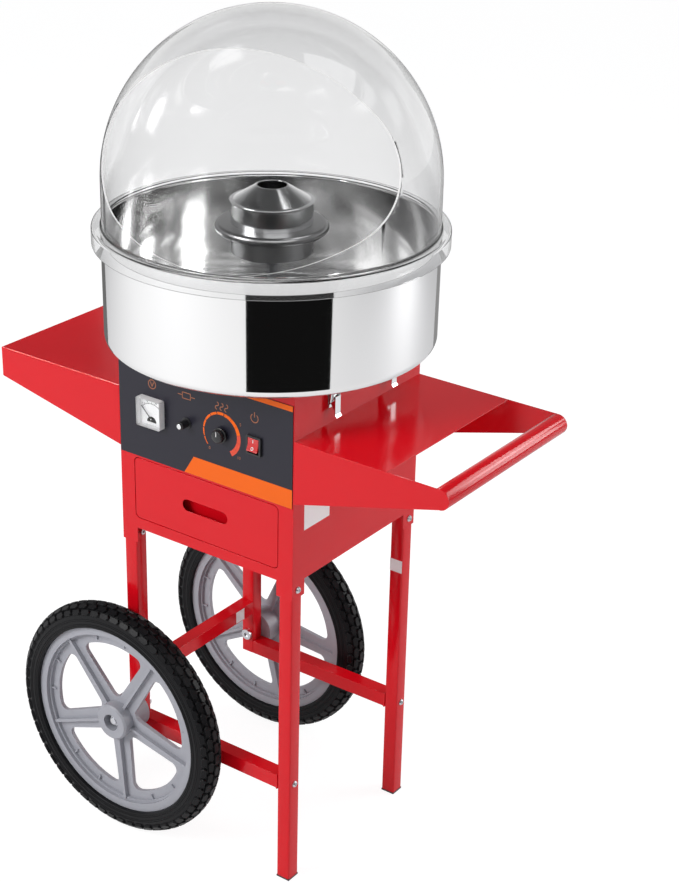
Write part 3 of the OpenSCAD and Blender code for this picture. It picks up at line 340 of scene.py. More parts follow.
def eased(node, width, coat, body, turns=2, fold=0):
    """A CAD node with its loose triangles joined, its flat faces whole again and its edges rounded.

    Where fold is given, the outer side of each long fold between broad faces is bent to that radius.
    """
    mesh = cad[node].data.copy()
    bm = bmesh.new()
    bm.from_mesh(mesh)
    same_spot, nearly_flat, sharp = 2e-6, math.radians(0.6), math.radians(32)
    bmesh.ops.remove_doubles(bm, verts=bm.verts, dist=same_spot)
    bmesh.ops.dissolve_limit(bm, angle_limit=nearly_flat, verts=bm.verts, edges=bm.edges)
    bmesh.ops.recalc_face_normals(bm, faces=bm.faces)
    if fold:
        long_edge, broad_face, least_bend = 0.08, 0.002, 0.8
        bends = [e for e in bm.edges if e.is_manifold and e.is_convex and e.calc_length() > long_edge
                 and min(f.calc_area() for f in e.link_faces) > broad_face and e.calc_face_angle() > least_bend]
        bmesh.ops.bevel(bm, geom=bends, offset=fold, segments=4, affect="EDGES", profile=0.5,
                        clamp_overlap=True)
    bm.to_mesh(mesh)
    bm.free()
    for key in [a.name for a in mesh.attributes if a.name in ("custom_normal", "sharp_edge", "sharp_face")]:
        mesh.attributes.remove(mesh.attributes[key])
    raw = bpy.data.objects.new(node + "_raw", mesh)
    scene.collection.objects.link(raw)
    round_off = raw.modifiers.new("eased", "BEVEL")
    round_off.width, round_off.segments = width, turns
    round_off.limit_method, round_off.angle_limit = "ANGLE", sharp
    mesh.shade_smooth()
    even = raw.modifiers.new("even", "WEIGHTED_NORMAL")
    even.keep_sharp = True
    shaped = bpy.data.meshes.new_from_object(raw.evaluated_get(bpy.context.evaluated_depsgraph_get()))
    bpy.data.objects.remove(raw)
    shaped.materials.clear()
    shaped.materials.append(coat)
    o = bpy.data.objects.new(node + "_eased", shaped)
    shaped.name = o.name
    scene.collection.objects.link(o)
    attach(o, body)
    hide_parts(node)
    return o


for bar in ("front_side_bar", "back_side_bar", "left_cross_bar"):
    eased(bar, 0.0006, red_coat, "cart")

# Feet
# Black moulded caps that close the lower ends of the two standing legs.
black_moulding = grain(finish("black_moulding", (0.018, 0.018, 0.02), 0.42), 0.0008, 0.12, 0.06, 0.1)
eased("leg_feet", 0.0005, black_moulding, "cart")

# Frame bolts
# Zinc plated button-head socket screws hold the cabinet's tabs to the legs and the side bars' end plates,
# with hexagon nuts inside. Geometry Nodes set one head and one nut on their places.


def on_points(name, part, spots, coat):
    """One mesh of copies of a part: each spot is a place and the directions of the part's Z and X."""
    if "part_on_points" not in bpy.data.node_groups:
        g = bpy.data.node_groups.new("part_on_points", "GeometryNodeTree")
        for label, kind in (("Geometry", "NodeSocketGeometry"), ("Part", "NodeSocketObject"),
                            ("Finish", "NodeSocketMaterial")):
            g.interface.new_socket(label, in_out="INPUT", socket_type=kind)
        g.interface.new_socket("Geometry", in_out="OUTPUT", socket_type="NodeSocketGeometry")
        n, l = g.nodes, g.links
        given, made = n.new("NodeGroupInput"), n.new("NodeGroupOutput")
        shape = n.new("GeometryNodeObjectInfo")
        l.new(given.outputs["Part"], shape.inputs["Object"])
        stand, lie = n.new("FunctionNodeAlignRotationToVector"), n.new("FunctionNodeAlignRotationToVector")
        stand.axis, lie.axis, lie.pivot_axis = "Z", "X", "Z"
        for label, align in (("facing", stand), ("along", lie)):
            field = n.new("GeometryNodeInputNamedAttribute")
            field.data_type = "FLOAT_VECTOR"
            field.inputs["Name"].default_value = label
            l.new(field.outputs["Attribute"], align.inputs["Vector"])
        l.new(stand.outputs["Rotation"], lie.inputs["Rotation"])
        put = n.new("GeometryNodeInstanceOnPoints")
        l.new(given.outputs["Geometry"], put.inputs["Points"])
        l.new(shape.outputs["Geometry"], put.inputs["Instance"])
        l.new(lie.outputs["Rotation"], put.inputs["Rotation"])
        real, paint = n.new("GeometryNodeRealizeInstances"), n.new("GeometryNodeSetMaterial")
        l.new(put.outputs["Instances"], real.inputs["Geometry"])
        l.new(real.outputs["Geometry"], paint.inputs["Geometry"])
        l.new(given.outputs["Finish"], paint.inputs["Material"])
        l.new(paint.outputs["Geometry"], made.inputs["Geometry"])
    g = bpy.data.node_groups["part_on_points"]
    base = bpy.data.meshes.new(name + "_spots")
    base.from_pydata([s[0] for s in spots], [], [])
    for k, label in ((1, "facing"), (2, "along")):
        field = base.attributes.new(label, "FLOAT_VECTOR", "POINT")
        field.data.foreach_set("vector", [c for s in spots for c in s[k]])
    model = bpy.data.objects.new(name + "_part", part)
    holder = bpy.data.objects.new(name + "_spots", base)
    scene.collection.objects.link(model)
    scene.collection.objects.link(holder)
    step = holder.modifiers.new("copies", "NODES")
    step.node_group = g
    sockets = {i.name: i.identifier for i in g.interface.items_tree if i.in_out == "INPUT"}
    step[sockets["Part"]], step[sockets["Finish"]] = model, coat
    mesh = bpy.data.meshes.new_from_object(holder.evaluated_get(bpy.context.evaluated_depsgraph_get()))
    bpy.data.objects.remove(holder)
    bpy.data.objects.remove(model)
    mesh.name = name
    return mesh


def turned(name, outline, steps=48):
    """A closed outline of radius and height, turned round Z."""
    bm = bmesh.new()
    rings = []
    for i in range(steps):
        a = 2 * math.pi * i / steps
        rings.append([bm.verts.new((r * math.cos(a), r * math.sin(a), z)) for r, z in outline])
    count = len(outline)
    for i in range(steps):
        p, q = rings[i], rings[(i + 1) % steps]
        for j in range(count):
            k = (j + 1) % count
            if outline[j][0] > 1e-9 or outline[k][0] > 1e-9:
                bm.faces.new((p[j], q[j], q[k], p[k]))
    bmesh.ops.remove_doubles(bm, verts=bm.verts, dist=1e-7)
    bmesh.ops.dissolve_degenerate(bm, edges=bm.edges, dist=1e-7)
    return mesh_from(bm, name)


def softened(points, steps=5):
    """An outline whose corners, given as a, b and radius, are rounded."""
    out = []
    count = len(points)
    for i in range(count):
        p = Vector(points[i][:2])
        r = points[i][2] if len(points[i]) > 2 else 0
        if not r:
            out.append(tuple(p))
            continue
        u = (Vector(points[i - 1][:2]) - p).normalized()
        v = (Vector(points[(i + 1) % count][:2]) - p).normalized()
        half_angle = u.angle(v) / 2
        reach = r / math.tan(half_angle)
        middle = p + (u + v).normalized() * (r / math.sin(half_angle))
        first, last = p + u * reach - middle, p + v * reach - middle
        sweep = math.atan2(first.x * last.y - first.y * last.x, first.dot(last))
        for k in range(steps + 1):
            a = sweep * k / steps
            out.append(tuple(middle + Vector((first.x * math.cos(a) - first.y * math.sin(a),
                                              first.x * math.sin(a) + first.y * math.cos(a)))))
    return out


def hex_nut(name, radius, low, high, hole):
    """A hexagon nut along Z with chamfered ends."""
    bm = bmesh.new()
    edge = radius * 0.08
    outline = ((radius - edge, low), (radius, low + edge), (radius, high - edge), (radius - edge, high),
               (hole, high), (hole, low))
    corners = [math.pi * i / 3 for i in range(6)]
    rings = [[bm.verts.new((r * math.cos(a), r * math.sin(a), z)) for a in corners] for r, z in outline]
    skin(bm, rings + rings[:1])
    return mesh_from(bm, name)


zinc_plate = grain(finish("zinc_plate", (0.66, 0.67, 0.70), 0.3, 1.0), 0.0007, 0.1, 0.1, 0.12)
head_outline = softened([(0, 0.0012), (0.0023, 0.0012), (0.0023, 0.0034, 0.0002), (0.0036, 0.0034, 0.0004),
                         (0.0055, 0.0012, 0.0006), (0.0055, 0.00005), (0.003, 0.00005), (0.003, -0.004),
                         (0, -0.004)])
button_head = turned("button_head", head_outline, 24)
nut = hex_nut("nut", 0.0057, 0.00005, 0.005, 0.0028)
leg_y, tab_x, tab_nut_x, tab_z = 0.153, 0.172, 0.1455, 0.545
plate_x, bar_z = 0.1705, 0.1865
head_spots, nut_spots = [], []
for sx in (-1, 1):
    for sy in (-1, 1):
        head_spots.append(((mid_x + sx * tab_x, sy * leg_y, tab_z), (sx, 0, 0), (0, 1, 0)))
        nut_spots.append(((mid_x + sx * tab_nut_x, sy * leg_y, tab_z), (-sx, 0, 0), (0, 1, 0)))
for sy in (-1, 1):
    head_spots.append(((mid_x + plate_x, sy * leg_y, bar_z), (1, 0, 0), (0, 1, 0)))


def zinc_copies(name, part, spots, nodes=()):
    """Zinc plated copies of a fastener, as one piece on the cart."""
    settle(name, on_points(name, part, spots, zinc_plate), zinc_plate, "cart", nodes)


zinc_copies("frame_bolt_heads", button_head, head_spots, ["frame_bolts"])
zinc_copies("frame_bolt_nuts", nut, nut_spots)

# Wheels
# Light grey moulded wheels with five ribbed spokes, a stepped rim and a plain round hub.
grey_moulding = grain(finish("grey_moulding", (0.38, 0.385, 0.425), 0.38, Specular_IOR_Level=0.4),
                      0.0012, 0.08, 0.06, 0.04)
for side in ("front", "back"):
    eased(side + "_wheel", 0.0009, grey_moulding, side + "_wheel_body")

# Tyres
# Black rubber with four ribs on each side wall and a crown of five staggered rows of low six-sided blocks,
# which Geometry Nodes lay out by row and turn.


def tread_layout():
    """Blocks round a tyre whose axis is along Y: each row lies at its own angle on the crown."""
    g = bpy.data.node_groups.new("tread_layout", "GeometryNodeTree")
    for label, kind, value in (
            ("Geometry", "NodeSocketGeometry", None), ("Centre", "NodeSocketVector", None),
            ("Blocks", "NodeSocketInt", 58), ("Rows", "NodeSocketInt", 5),
            ("Row step", "NodeSocketFloat", 0.46),
            ("Tyre radius", "NodeSocketFloat", 0.183), ("Crown radius", "NodeSocketFloat", 0.0228),
            ("Block", "NodeSocketObject", None), ("Rubber", "NodeSocketMaterial", None)):
        s = g.interface.new_socket(label, in_out="INPUT", socket_type=kind)
        if value is not None:
            s.default_value = value
    g.interface.new_socket("Geometry", in_out="OUTPUT", socket_type="NodeSocketGeometry")
    n, l = g.nodes, g.links
    given, made = n.new("NodeGroupInput"), n.new("NodeGroupOutput")

    def calc(operation, a, b=0.0):
        return node_math(n, l, operation, a, b)

    def vector(x, y, z):
        node = n.new("ShaderNodeCombineXYZ")
        for socket, value in zip(node.inputs, (x, y, z)):
            feed(l, socket, value)
        return node.outputs[0]

    blocks, rows = given.outputs["Blocks"], given.outputs["Rows"]
    index = n.new("GeometryNodeInputIndex").outputs[0]
    row = calc("FLOOR", calc("DIVIDE", index, blocks))
    place = calc("SUBTRACT", index, calc("MULTIPLY", row, blocks))
    shift = calc("MULTIPLY", calc("MODULO", row, 2.0), 0.5)
    around = calc("MULTIPLY", calc("DIVIDE", calc("ADD", place, shift), blocks), 2 * math.pi)
    middle = calc("DIVIDE", calc("SUBTRACT", rows, 1.0), 2.0)
    lean = calc("MULTIPLY", calc("SUBTRACT", row, middle), given.outputs["Row step"])
    ca, sa, cl, sl = calc("COSINE", around), calc("SINE", around), calc("COSINE", lean), calc("SINE", lean)
    reach = calc("ADD", given.outputs["Tyre radius"], calc("MULTIPLY", given.outputs["Crown radius"], cl))
    spot = vector(calc("MULTIPLY", reach, ca), calc("MULTIPLY", given.outputs["Crown radius"], sl),
                  calc("MULTIPLY", reach, sa))
    moved = n.new("ShaderNodeVectorMath")
    l.new(spot, moved.inputs[0])
    l.new(given.outputs["Centre"], moved.inputs[1])
    dots = n.new("GeometryNodePoints")
    l.new(calc("MULTIPLY", blocks, rows), dots.inputs["Count"])
    l.new(moved.outputs["Vector"], dots.inputs["Position"])
    stand, lie = n.new("FunctionNodeAlignRotationToVector"), n.new("FunctionNodeAlignRotationToVector")
    stand.axis, lie.axis, lie.pivot_axis = "Z", "X", "Z"
    l.new(vector(calc("MULTIPLY", cl, ca), sl, calc("MULTIPLY", cl, sa)), stand.inputs["Vector"])
    l.new(stand.outputs["Rotation"], lie.inputs["Rotation"])
    l.new(vector(calc("MULTIPLY", sa, -1.0), 0.0, ca), lie.inputs["Vector"])
    put = n.new("GeometryNodeInstanceOnPoints")
    shape = n.new("GeometryNodeObjectInfo")
    l.new(given.outputs["Block"], shape.inputs["Object"])
    l.new(dots.outputs[0], put.inputs["Points"])
    l.new(shape.outputs["Geometry"], put.inputs["Instance"])
    l.new(lie.outputs["Rotation"], put.inputs["Rotation"])
    joined, real = n.new("GeometryNodeJoinGeometry"), n.new("GeometryNodeRealizeInstances")
    l.new(put.outputs["Instances"], joined.inputs[0])
    l.new(given.outputs["Geometry"], joined.inputs[0])
    l.new(joined.outputs[0], real.inputs["Geometry"])
    paint = n.new("GeometryNodeSetMaterial")
    l.new(real.outputs["Geometry"], paint.inputs["Geometry"])
    l.new(given.outputs["Rubber"], paint.inputs["Material"])
    l.new(paint.outputs["Geometry"], made.inputs["Geometry"])
    return g


rubber = grain(finish("tyre_rubber", (0.006, 0.006, 0.0072), 0.4, Specular_IOR_Level=0.18),
               0.0009, 0.12, 0.08, 0.15)
bm = bmesh.new()
hexagon = ((0.0101, 0), (0.0070, 0.0048), (-0.0070, 0.0048),
           (-0.0101, 0), (-0.0070, -0.0048), (0.0070, -0.0048))
rings = [[bm.verts.new((x * k, y * k, z)) for x, y in hexagon]
         for k, z in ((1.02, -0.0012), (0.96, 0.0030), (0.87, 0.0038))]
skin(bm, rings)
bm.faces.new(rings[-1])
bm.faces.new(rings[0])
block = bpy.data.objects.new("tread_block", mesh_from(bm, "tread_block"))
scene.collection.objects.link(block)
layout = tread_layout()
tyre_mid_r, crown_r, crown_half = 0.183, 0.0230, 62
bead_r, bead_y, wall_y, rib_y = 0.1702, 0.0215, 0.0221, 0.0228
wheel_x, wheel_y, axle_z = 0.158, 0.203, 0.21
crown = [(tyre_mid_r + crown_r * math.cos(a), crown_r * math.sin(a))
         for a in [math.radians(-crown_half + 2 * crown_half * i / 30) for i in range(31)]]
ribs = [(r, y) for at in (0.1742, 0.1772, 0.1832, 0.1862)
        for r, y in ((at - 0.0007, -wall_y), (at - 0.0003, -rib_y),
                     (at + 0.0003, -rib_y), (at + 0.0007, -wall_y))]
tyre_outline = softened([(bead_r, -bead_y, 0.002)] + ribs + crown + [(r, -y) for r, y in reversed(ribs)]
                        + [(bead_r, bead_y, 0.002)])
for side, sy in (("front", -1), ("back", 1)):
    centre = Vector((mid_x - wheel_x, sy * wheel_y, axle_z))
    carcass = turned(side + "_tyre_carcass", tyre_outline, 160)
    carcass.transform(Matrix.Translation(centre) @ Matrix.Rotation(math.pi / 2, 4, "X"))
    holder = bpy.data.objects.new(side + "_tyre_base", carcass)
    scene.collection.objects.link(holder)
    step = holder.modifiers.new("tread", "NODES")
    step.node_group = layout
    sockets = {i.name: i.identifier for i in layout.interface.items_tree if i.in_out == "INPUT"}
    step[sockets["Centre"]] = centre
    step[sockets["Block"]], step[sockets["Rubber"]] = block, rubber
    mesh = bpy.data.meshes.new_from_object(holder.evaluated_get(bpy.context.evaluated_depsgraph_get()))
    bpy.data.objects.remove(holder)
    mesh.name = side + "_tyre_tread"
    settle(side + "_tyre_tread", mesh, rubber, side + "_wheel_body", [side + "_tyre"], 40)
bpy.data.objects.remove(block)

# Axle bolts
# Each wheel turns on one bolt through its leg, held by a nut sunk in the hub.
eased("axle_bolts", 0.0005, zinc_plate, "cart")

# Cabinet
# Folded red sheet: front with the drawer opening, two sides, a screwed back cover with vents, the top
# plate and the deck that carries the motor.
for sheet in ("cabinet_front", "cabinet_left_side", "cabinet_right_side", "back_cover", "cabinet_top",
              "motor_deck"):
    eased(sheet, 0.0005, red_coat, "cart")
screw_x, cover_y, screw_rows = 0.163, 0.167, (0.60, 0.665, 0.845)
cover_spots = [((mid_x + sx * screw_x, cover_y, z), (0, 1, 0), (1, 0, 0)) for sx in (-1, 1) for z in screw_rows]
screw_outline = softened([(0, 0.0009), (0.0014, 0.0009), (0.0014, 0.0021, 0.0001), (0.0022, 0.0021, 0.0003),
                          (0.0036, 0.0009, 0.0004), (0.0036, 0.00005), (0.0018, 0.00005), (0.0018, -0.001),
                          (0, -0.001)], 3)
zinc_copies("cover_screws", turned("cover_screw", screw_outline, 20), cover_spots)

# Shelf and tray
# Each is folded from one sheet with skirts, and the shelf's long edges show the bend. The tray's side wings
# reach out to the push handle, a red tube.
folded = bpy.data.collections.new("lit_by_fold_light")
for sheet, ease, fold in (("left_shelf", 0.0005, 0.0014), ("handle_tray", 0.0007, 0)):
    o = eased(sheet, ease, red_coat, "cart", turns=3, fold=fold)
    o.visible_glossy = False
    folded.objects.link(o)
fold_light.light_linking.receiver_collection = folded
low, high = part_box("push_handle")
grip_r, grip_bore = 0.016, 0.014
tube = turned("push_handle_tube", softened([(grip_bore, low.y), (grip_r, low.y, 0.0005),
                                            (grip_r, high.y, 0.0005), (grip_bore, high.y)]), 64)
tube.transform(Matrix.Translation(((low.x + high.x) / 2, 0, (low.z + high.z) / 2))
               @ Matrix.Rotation(-math.pi / 2, 4, "X"))
grip = settle("push_handle_tube", tube, red_coat, "cart", ["push_handle"])
grip.visible_glossy = False
glinting = bpy.data.collections.new("lit_by_handle_light")
glinting.objects.link(grip)
handle_light.light_linking.receiver_collection = glinting

# Tray bolts
# The shelf and the tray hang on four bolts through the cabinet's sides.
tray_bolt_x, tray_bolt_y, tray_bolt_z = 0.1735, 0.0835, 0.782
tray_spots = [((mid_x + sx * tray_bolt_x, sy * tray_bolt_y, tray_bolt_z), (sx, 0, 0), (0, 1, 0))
              for sx in (-1, 1) for sy in (-1, 1)]
zinc_copies("tray_bolt_heads", button_head, tray_spots, ["tray_bolts"])

# Control panel
# A dark grey printed plate with an orange band along its top, a wide orange band at its lower right and
# plain signs above the controls.
panel_ink = grain(finish("panel_grey", (0.018, 0.017, 0.027), 0.36, Specular_IOR_Level=0.3),
                  0.0012, 0.05, 0.05, 0.06)
eased("control_panel", 0.0002, panel_ink, "cart")
panel_y = -0.1682


def plate(bm, near, far):
    """A closed solid between two like outlines of vertices."""
    bm.faces.new(near)
    bm.faces.new(far[::-1])
    for i in range(len(near)):
        j = (i + 1) % len(near)
        bm.faces.new((near[i], far[i], far[j], near[j]))


def printed(name, shapes, coat, body="cart", lift=0.00015, face=panel_y):
    """Thin shapes on a front: each is an outline of x and z in mm from the cabinet's middle."""
    bm = bmesh.new()
    sunk = 0.0001
    for shape in shapes:
        plate(bm, *[[bm.verts.new((mid_x + x / 1000, y, z / 1000)) for x, z in shape]
                    for y in (face - lift, face + sunk)])
    settle(name, mesh_from(bm, name), coat, body)


def arc_band(cx, cz, inner, outer, start, end, steps=10):
    """An arc as an outline: radii may be given as a pair, for its two ends."""
    a0, a1 = math.radians(start), math.radians(end)
    first, second = [], []
    for i in range(steps + 1):
        t = i / steps
        a = a0 + (a1 - a0) * t
        ri = inner[0] + (inner[1] - inner[0]) * t if isinstance(inner, tuple) else inner
        first.append((cx + ri * math.cos(a), cz + ri * math.sin(a)))
        second.append((cx + outer * math.cos(a), cz + outer * math.sin(a)))
    return first + second[::-1]


def bar_shape(x0, z0, x1, z1, width):
    """A straight stroke as an outline."""
    d = Vector((x1 - x0, z1 - z0)).normalized() * width / 2
    return [(x0 - d.y, z0 + d.x), (x0 + d.y, z0 - d.x), (x1 + d.y, z1 - d.x), (x1 - d.y, z1 + d.x)]


orange_ink = grain(finish("orange_ink", (0.92, 0.14, 0.006), 0.4, Specular_IOR_Level=0.2),
                   0.0012, 0.04, 0.05, 0.05)
red_ink = grain(finish("red_ink", (0.75, 0.06, 0.02), 0.4), 0.0012, 0.04, 0.05, 0.05)
sign_ink = grain(finish("sign_ink", (0.36, 0.12, 0.05), 0.45), 0.0012, 0.04, 0.05, 0.05)
printed("panel_bands", [[(-170.2, 848), (170.2, 848), (170.2, 856.7), (-170.2, 856.7)],
                        [(-39, 689.3), (170.2, 689.3), (170.2, 720.5), (-20, 720.5)]], orange_ink)
knob_x, knob_z = 36, 774
scale_r, scale_start, scale_step = 36.5, 220, 23.1
dial = []
for i in range(12):
    w0, w1 = 1.4 + 7 * i / 12, 1.4 + 7 * (i + 0.9) / 12
    start = scale_start - scale_step * i
    dial.append(arc_band(knob_x, knob_z, (scale_r - w0, scale_r - w1), scale_r,
                         start, start - (20.8 if i < 6 else 22.6)))
printed("heat_scale", dial[:9], orange_ink)
printed("heat_scale_hot", dial[9:], red_ink)
meter_x, switch_x = -102, 99
signs = [arc_band(meter_x, 820, 6.6, 8, 0, 359.9, 40),
         bar_shape(-105.2, 824, meter_x, 816, 1.4), bar_shape(-98.8, 824, meter_x, 816, 1.4),
         bar_shape(-50, 819, -41, 819, 1.3), bar_shape(-25, 819, -16, 819, 1.3),
         bar_shape(-41.6, 824, -24.4, 824, 1.3), bar_shape(-41.6, 814, -24.4, 814, 1.3),
         bar_shape(-41, 824, -41, 814, 1.3), bar_shape(-25, 824, -25, 814, 1.3),
         arc_band(switch_x, 818.5, 6.2, 7.6, 125, 415, 30), bar_shape(switch_x, 820, switch_x, 828.5, 1.4)]
for x in (knob_x - 9, knob_x, knob_x + 9):
    signs += [arc_band(x, 816.5, 2.3, 3.7, 90, 270, 10), arc_band(x, 822.5, 2.3, 3.7, -90, 90, 10)]
printed("panel_signs", signs, sign_ink)

# Meter
# A square panel meter: white case and dial with a printed scale, a black needle and a clear cap whose
# sides are frosted.
white_case = grain(finish("white_case", (0.88, 0.88, 0.89), 0.3), 0.0008, 0.05, 0.05, 0.02)
eased("meter_case", 0.0004, white_case, "cart")
needle_paint = grain(finish("needle_paint", (0.012, 0.012, 0.012), 0.5), 0.0006, 0.05, 0.05, 0.1)
eased("meter_needle", 0.0001, needle_paint, "needle_body")
clear_cap = grain(finish("clear_cap", (0.99, 0.99, 0.99), 0.03, Transmission_Weight=1.0, IOR=1.18),
                  0.004, 0.01, 0.02)
cap = eased("meter_window", 0.0005, clear_cap, "cart").data
cap.materials.append(finish("frosted_side", (0.97, 0.97, 0.98), 0.2, Transmission_Weight=0.15, IOR=1.18))
for face in cap.polygons:
    face.material_index = int(abs(face.normal.y) < 0.5)
dial_y = panel_y - 0.002
needle_z, mark_r = 762, 25.5
marks = [arc_band(meter_x, needle_z, 25.2, 25.7, 45, 135, 24)]
for i in range(31):
    a = math.radians(135 - 3 * i)
    reach, width = (28.6, 0.45) if i % 5 == 0 else (27, 0.25)
    marks.append(bar_shape(meter_x + mark_r * math.cos(a), needle_z + mark_r * math.sin(a),
                           meter_x + reach * math.cos(a), needle_z + reach * math.sin(a), width))
printed("meter_scale", marks, needle_paint, face=dial_y, lift=0.0001)


def lettering(name, rows, coat, face):
    """Plain numbers on a front: text, height, x and z in mm from the cabinet's middle."""
    joined = bmesh.new()
    for text, height, x, z in rows:
        curve = bpy.data.curves.new(name, "FONT")
        curve.body, curve.size, curve.extrude = text, height / 1000, 0.00005
        curve.align_x = curve.align_y = "CENTER"
        o = bpy.data.objects.new(name, curve)
        scene.collection.objects.link(o)
        mesh = bpy.data.meshes.new_from_object(o.evaluated_get(bpy.context.evaluated_depsgraph_get()))
        bpy.data.objects.remove(o)
        mesh.transform(Matrix.Translation((mid_x + x / 1000, face, z / 1000))
                       @ Matrix.Rotation(math.pi / 2, 4, "X"))
        joined.from_mesh(mesh)
    bmesh.ops.remove_doubles(joined, verts=joined.verts, dist=1e-7)
    settle(name, mesh_from(joined, name), coat, "cart")


proud = 0.00006
lettering("meter_numbers", [("0", 4, -120, 785), ("10", 4, -111, 790.5), ("20", 4, -93, 790.5),
                            ("30", 4, -84, 785)], needle_paint, dial_y - proud)
printed("meter_shroud", [arc_band(meter_x, 757, 0.01, 9, 0, 180, 20)], needle_paint, face=dial_y, lift=0.0008)

# Fuse holder
# A black bayonet holder with a turned silver tip on its cap; the glass fuse comes out with the cap.
eased("fuse_holder", 0.0004, black_moulding, "cart")
eased("fuse_cap", 0.0006, black_moulding, "fuse_body")
silver_tip = grain(finish("silver_tip", (0.78, 0.79, 0.8), 0.22, 1.0), 0.0006, 0.05, 0.06, 0.05)
low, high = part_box("fuse_cap")
tip = turned("fuse_tip", softened([(0, 0), (0.0043, 0), (0.0043, 0.0022, 0.0006), (0, 0.0022)]), 32)
tip.transform(Matrix.Translation(((low.x + high.x) / 2, low.y + 0.0020, (low.z + high.z) / 2))
              @ Matrix.Rotation(math.pi / 2, 4, "X"))
settle("fuse_tip", tip, silver_tip, "fuse_body", [])
tube_glass = grain(finish("tube_glass", (0.95, 0.97, 0.97), 0.02, Transmission_Weight=1.0, IOR=1.5),
                   0.002, 0.01, 0.015)
eased("glass_fuse", 0.0003, tube_glass, "fuse_body")

# Heat control
# A regulator behind the panel with a black fluted knob whose pointer line is white.
eased("heat_control", 0.0004, zinc_plate, "cart")
knob_centre = Vector((mid_x + 0.036, 0, 0.774))
stem_y, knob_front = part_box("heat_knob")[1].y, -0.18235
knob_steps, flutes, flute_deep = 144, 24, 0.00045
bm = bmesh.new()
knob_rows = ((0.003, stem_y), (0.003, -0.1717), (0.0121, -0.1717), (0.0125, -0.1721), (0.0125, -0.1741),
             (0.0121, -0.1745), (0.0106, -0.1747), (0.0103, -0.1805), (0.0097, -0.1818), (0.0086, knob_front))
rings = []
for k, (r, y) in enumerate(knob_rows):
    ring = []
    for i in range(knob_steps):
        a = 2 * math.pi * i / knob_steps
        flute = flute_deep * (0.5 + 0.5 * math.cos(flutes * a)) if 6 <= k <= 8 else 0
        ring.append(bm.verts.new((knob_centre.x + (r - flute) * math.cos(a), y,
                                  knob_centre.z + (r - flute) * math.sin(a))))
    rings.append(ring)
skin(bm, rings)
bm.faces.new(rings[0])
bm.faces.new(rings[-1])
gloss_black = grain(finish("gloss_black", (0.014, 0.014, 0.016), 0.2), 0.0008, 0.05, 0.05, 0.1)
settle("heat_knob_fluted", mesh_from(bm, "heat_knob_fluted"), gloss_black, "knob_body", ["heat_knob"],
       50)
lettering("heat_numbers", [("0", 7, 12, 745), ("5", 7, 72, 800), ("10", 7, 69, 744)], sign_ink, panel_y - proud)
white_line = grain(finish("white_line", (0.8, 0.8, 0.8), 0.4), 0.0006, 0.03, 0.03, 0.02)
printed("knob_pointer", [bar_shape(knob_x, 775, knob_x, 782.4, 1.4)], white_line, "knob_body", 0.00035,
        face=knob_front)

# Rocker switch
# A black bezel with a glossy red rocker that carries the usual line and ring marks.
eased("switch_housing", 0.0005, black_moulding, "cart")
red_rocker = grain(finish("red_rocker", (0.62, 0.02, 0.02), 0.16, Coat_Weight=0.4), 0.0008, 0.03, 0.04, 0.04)
eased("switch_rocker", 0.0006, red_rocker, "rocker_body")
tilt = math.radians(12)
rocker_place = Matrix.Translation((mid_x + 0.099, -0.1642, 0.774)) @ Matrix.Rotation(-tilt, 4, "X")
rocker_face = -0.008
bm = bmesh.new()
for shape in (bar_shape(0, 3.2, 0, 8.2, 1.3), arc_band(0, -5.6, 1.6, 2.6, 0, 359.9, 24)):
    sides = []
    for lift in (0.0002, -0.0002):
        spots = [(x / 1000, rocker_face - abs(z) / 1000 * math.tan(tilt) - lift, z / 1000) for x, z in shape]
        sides.append([bm.verts.new(rocker_place @ Vector(spot)) for spot in spots])
    plate(bm, *sides)
settle("rocker_marks", mesh_from(bm, "rocker_marks"), white_line, "rocker_body")

# Drawer
# A red tray on two plain runners. Its front fills the opening flush and has a long finger slot.
eased("drawer_front", 0.0006, red_coat, "drawer")
eased("drawer_tray", 0.0005, red_coat, "drawer")
eased("drawer_runners", 0.0004, zinc_plate, "cart")


def folded_strip(name, outline, half, body):
    """Red sheet folded along X: an outline of y and z, in metres, as far to either side of the middle."""
    bm = bmesh.new()
    plate(bm, *[[bm.verts.new((mid_x + x, y, z)) for y, z in outline] for x in (-half, half)])
    settle(name, mesh_from(bm, name), red_coat, body, [])


sill_outline = softened([(-0.1654, 0.5753), (-0.1654, 0.5767), (-0.1500, 0.5767, 0.0006), (-0.1500, 0.5680),
                         (-0.1512, 0.5680), (-0.1512, 0.5753)], 3)
pocket_outline = softened([(-0.1649, 0.6470), (-0.1560, 0.6440, 0.004), (-0.1490, 0.5990), (-0.1478, 0.5992),
                           (-0.1548, 0.6452, 0.005), (-0.1649, 0.6484)], 4)
folded_strip("drawer_sill_fold", sill_outline, 0.140, "cart")
folded_strip("finger_pocket", pocket_outline, 0.054, "drawer")

# Bowl
# Spun from polished stainless steel, with a rounded lower edge, a rolled rim, three rings pressed in
# its floor, a neck round the shaft and four folded catches under it for the latches.


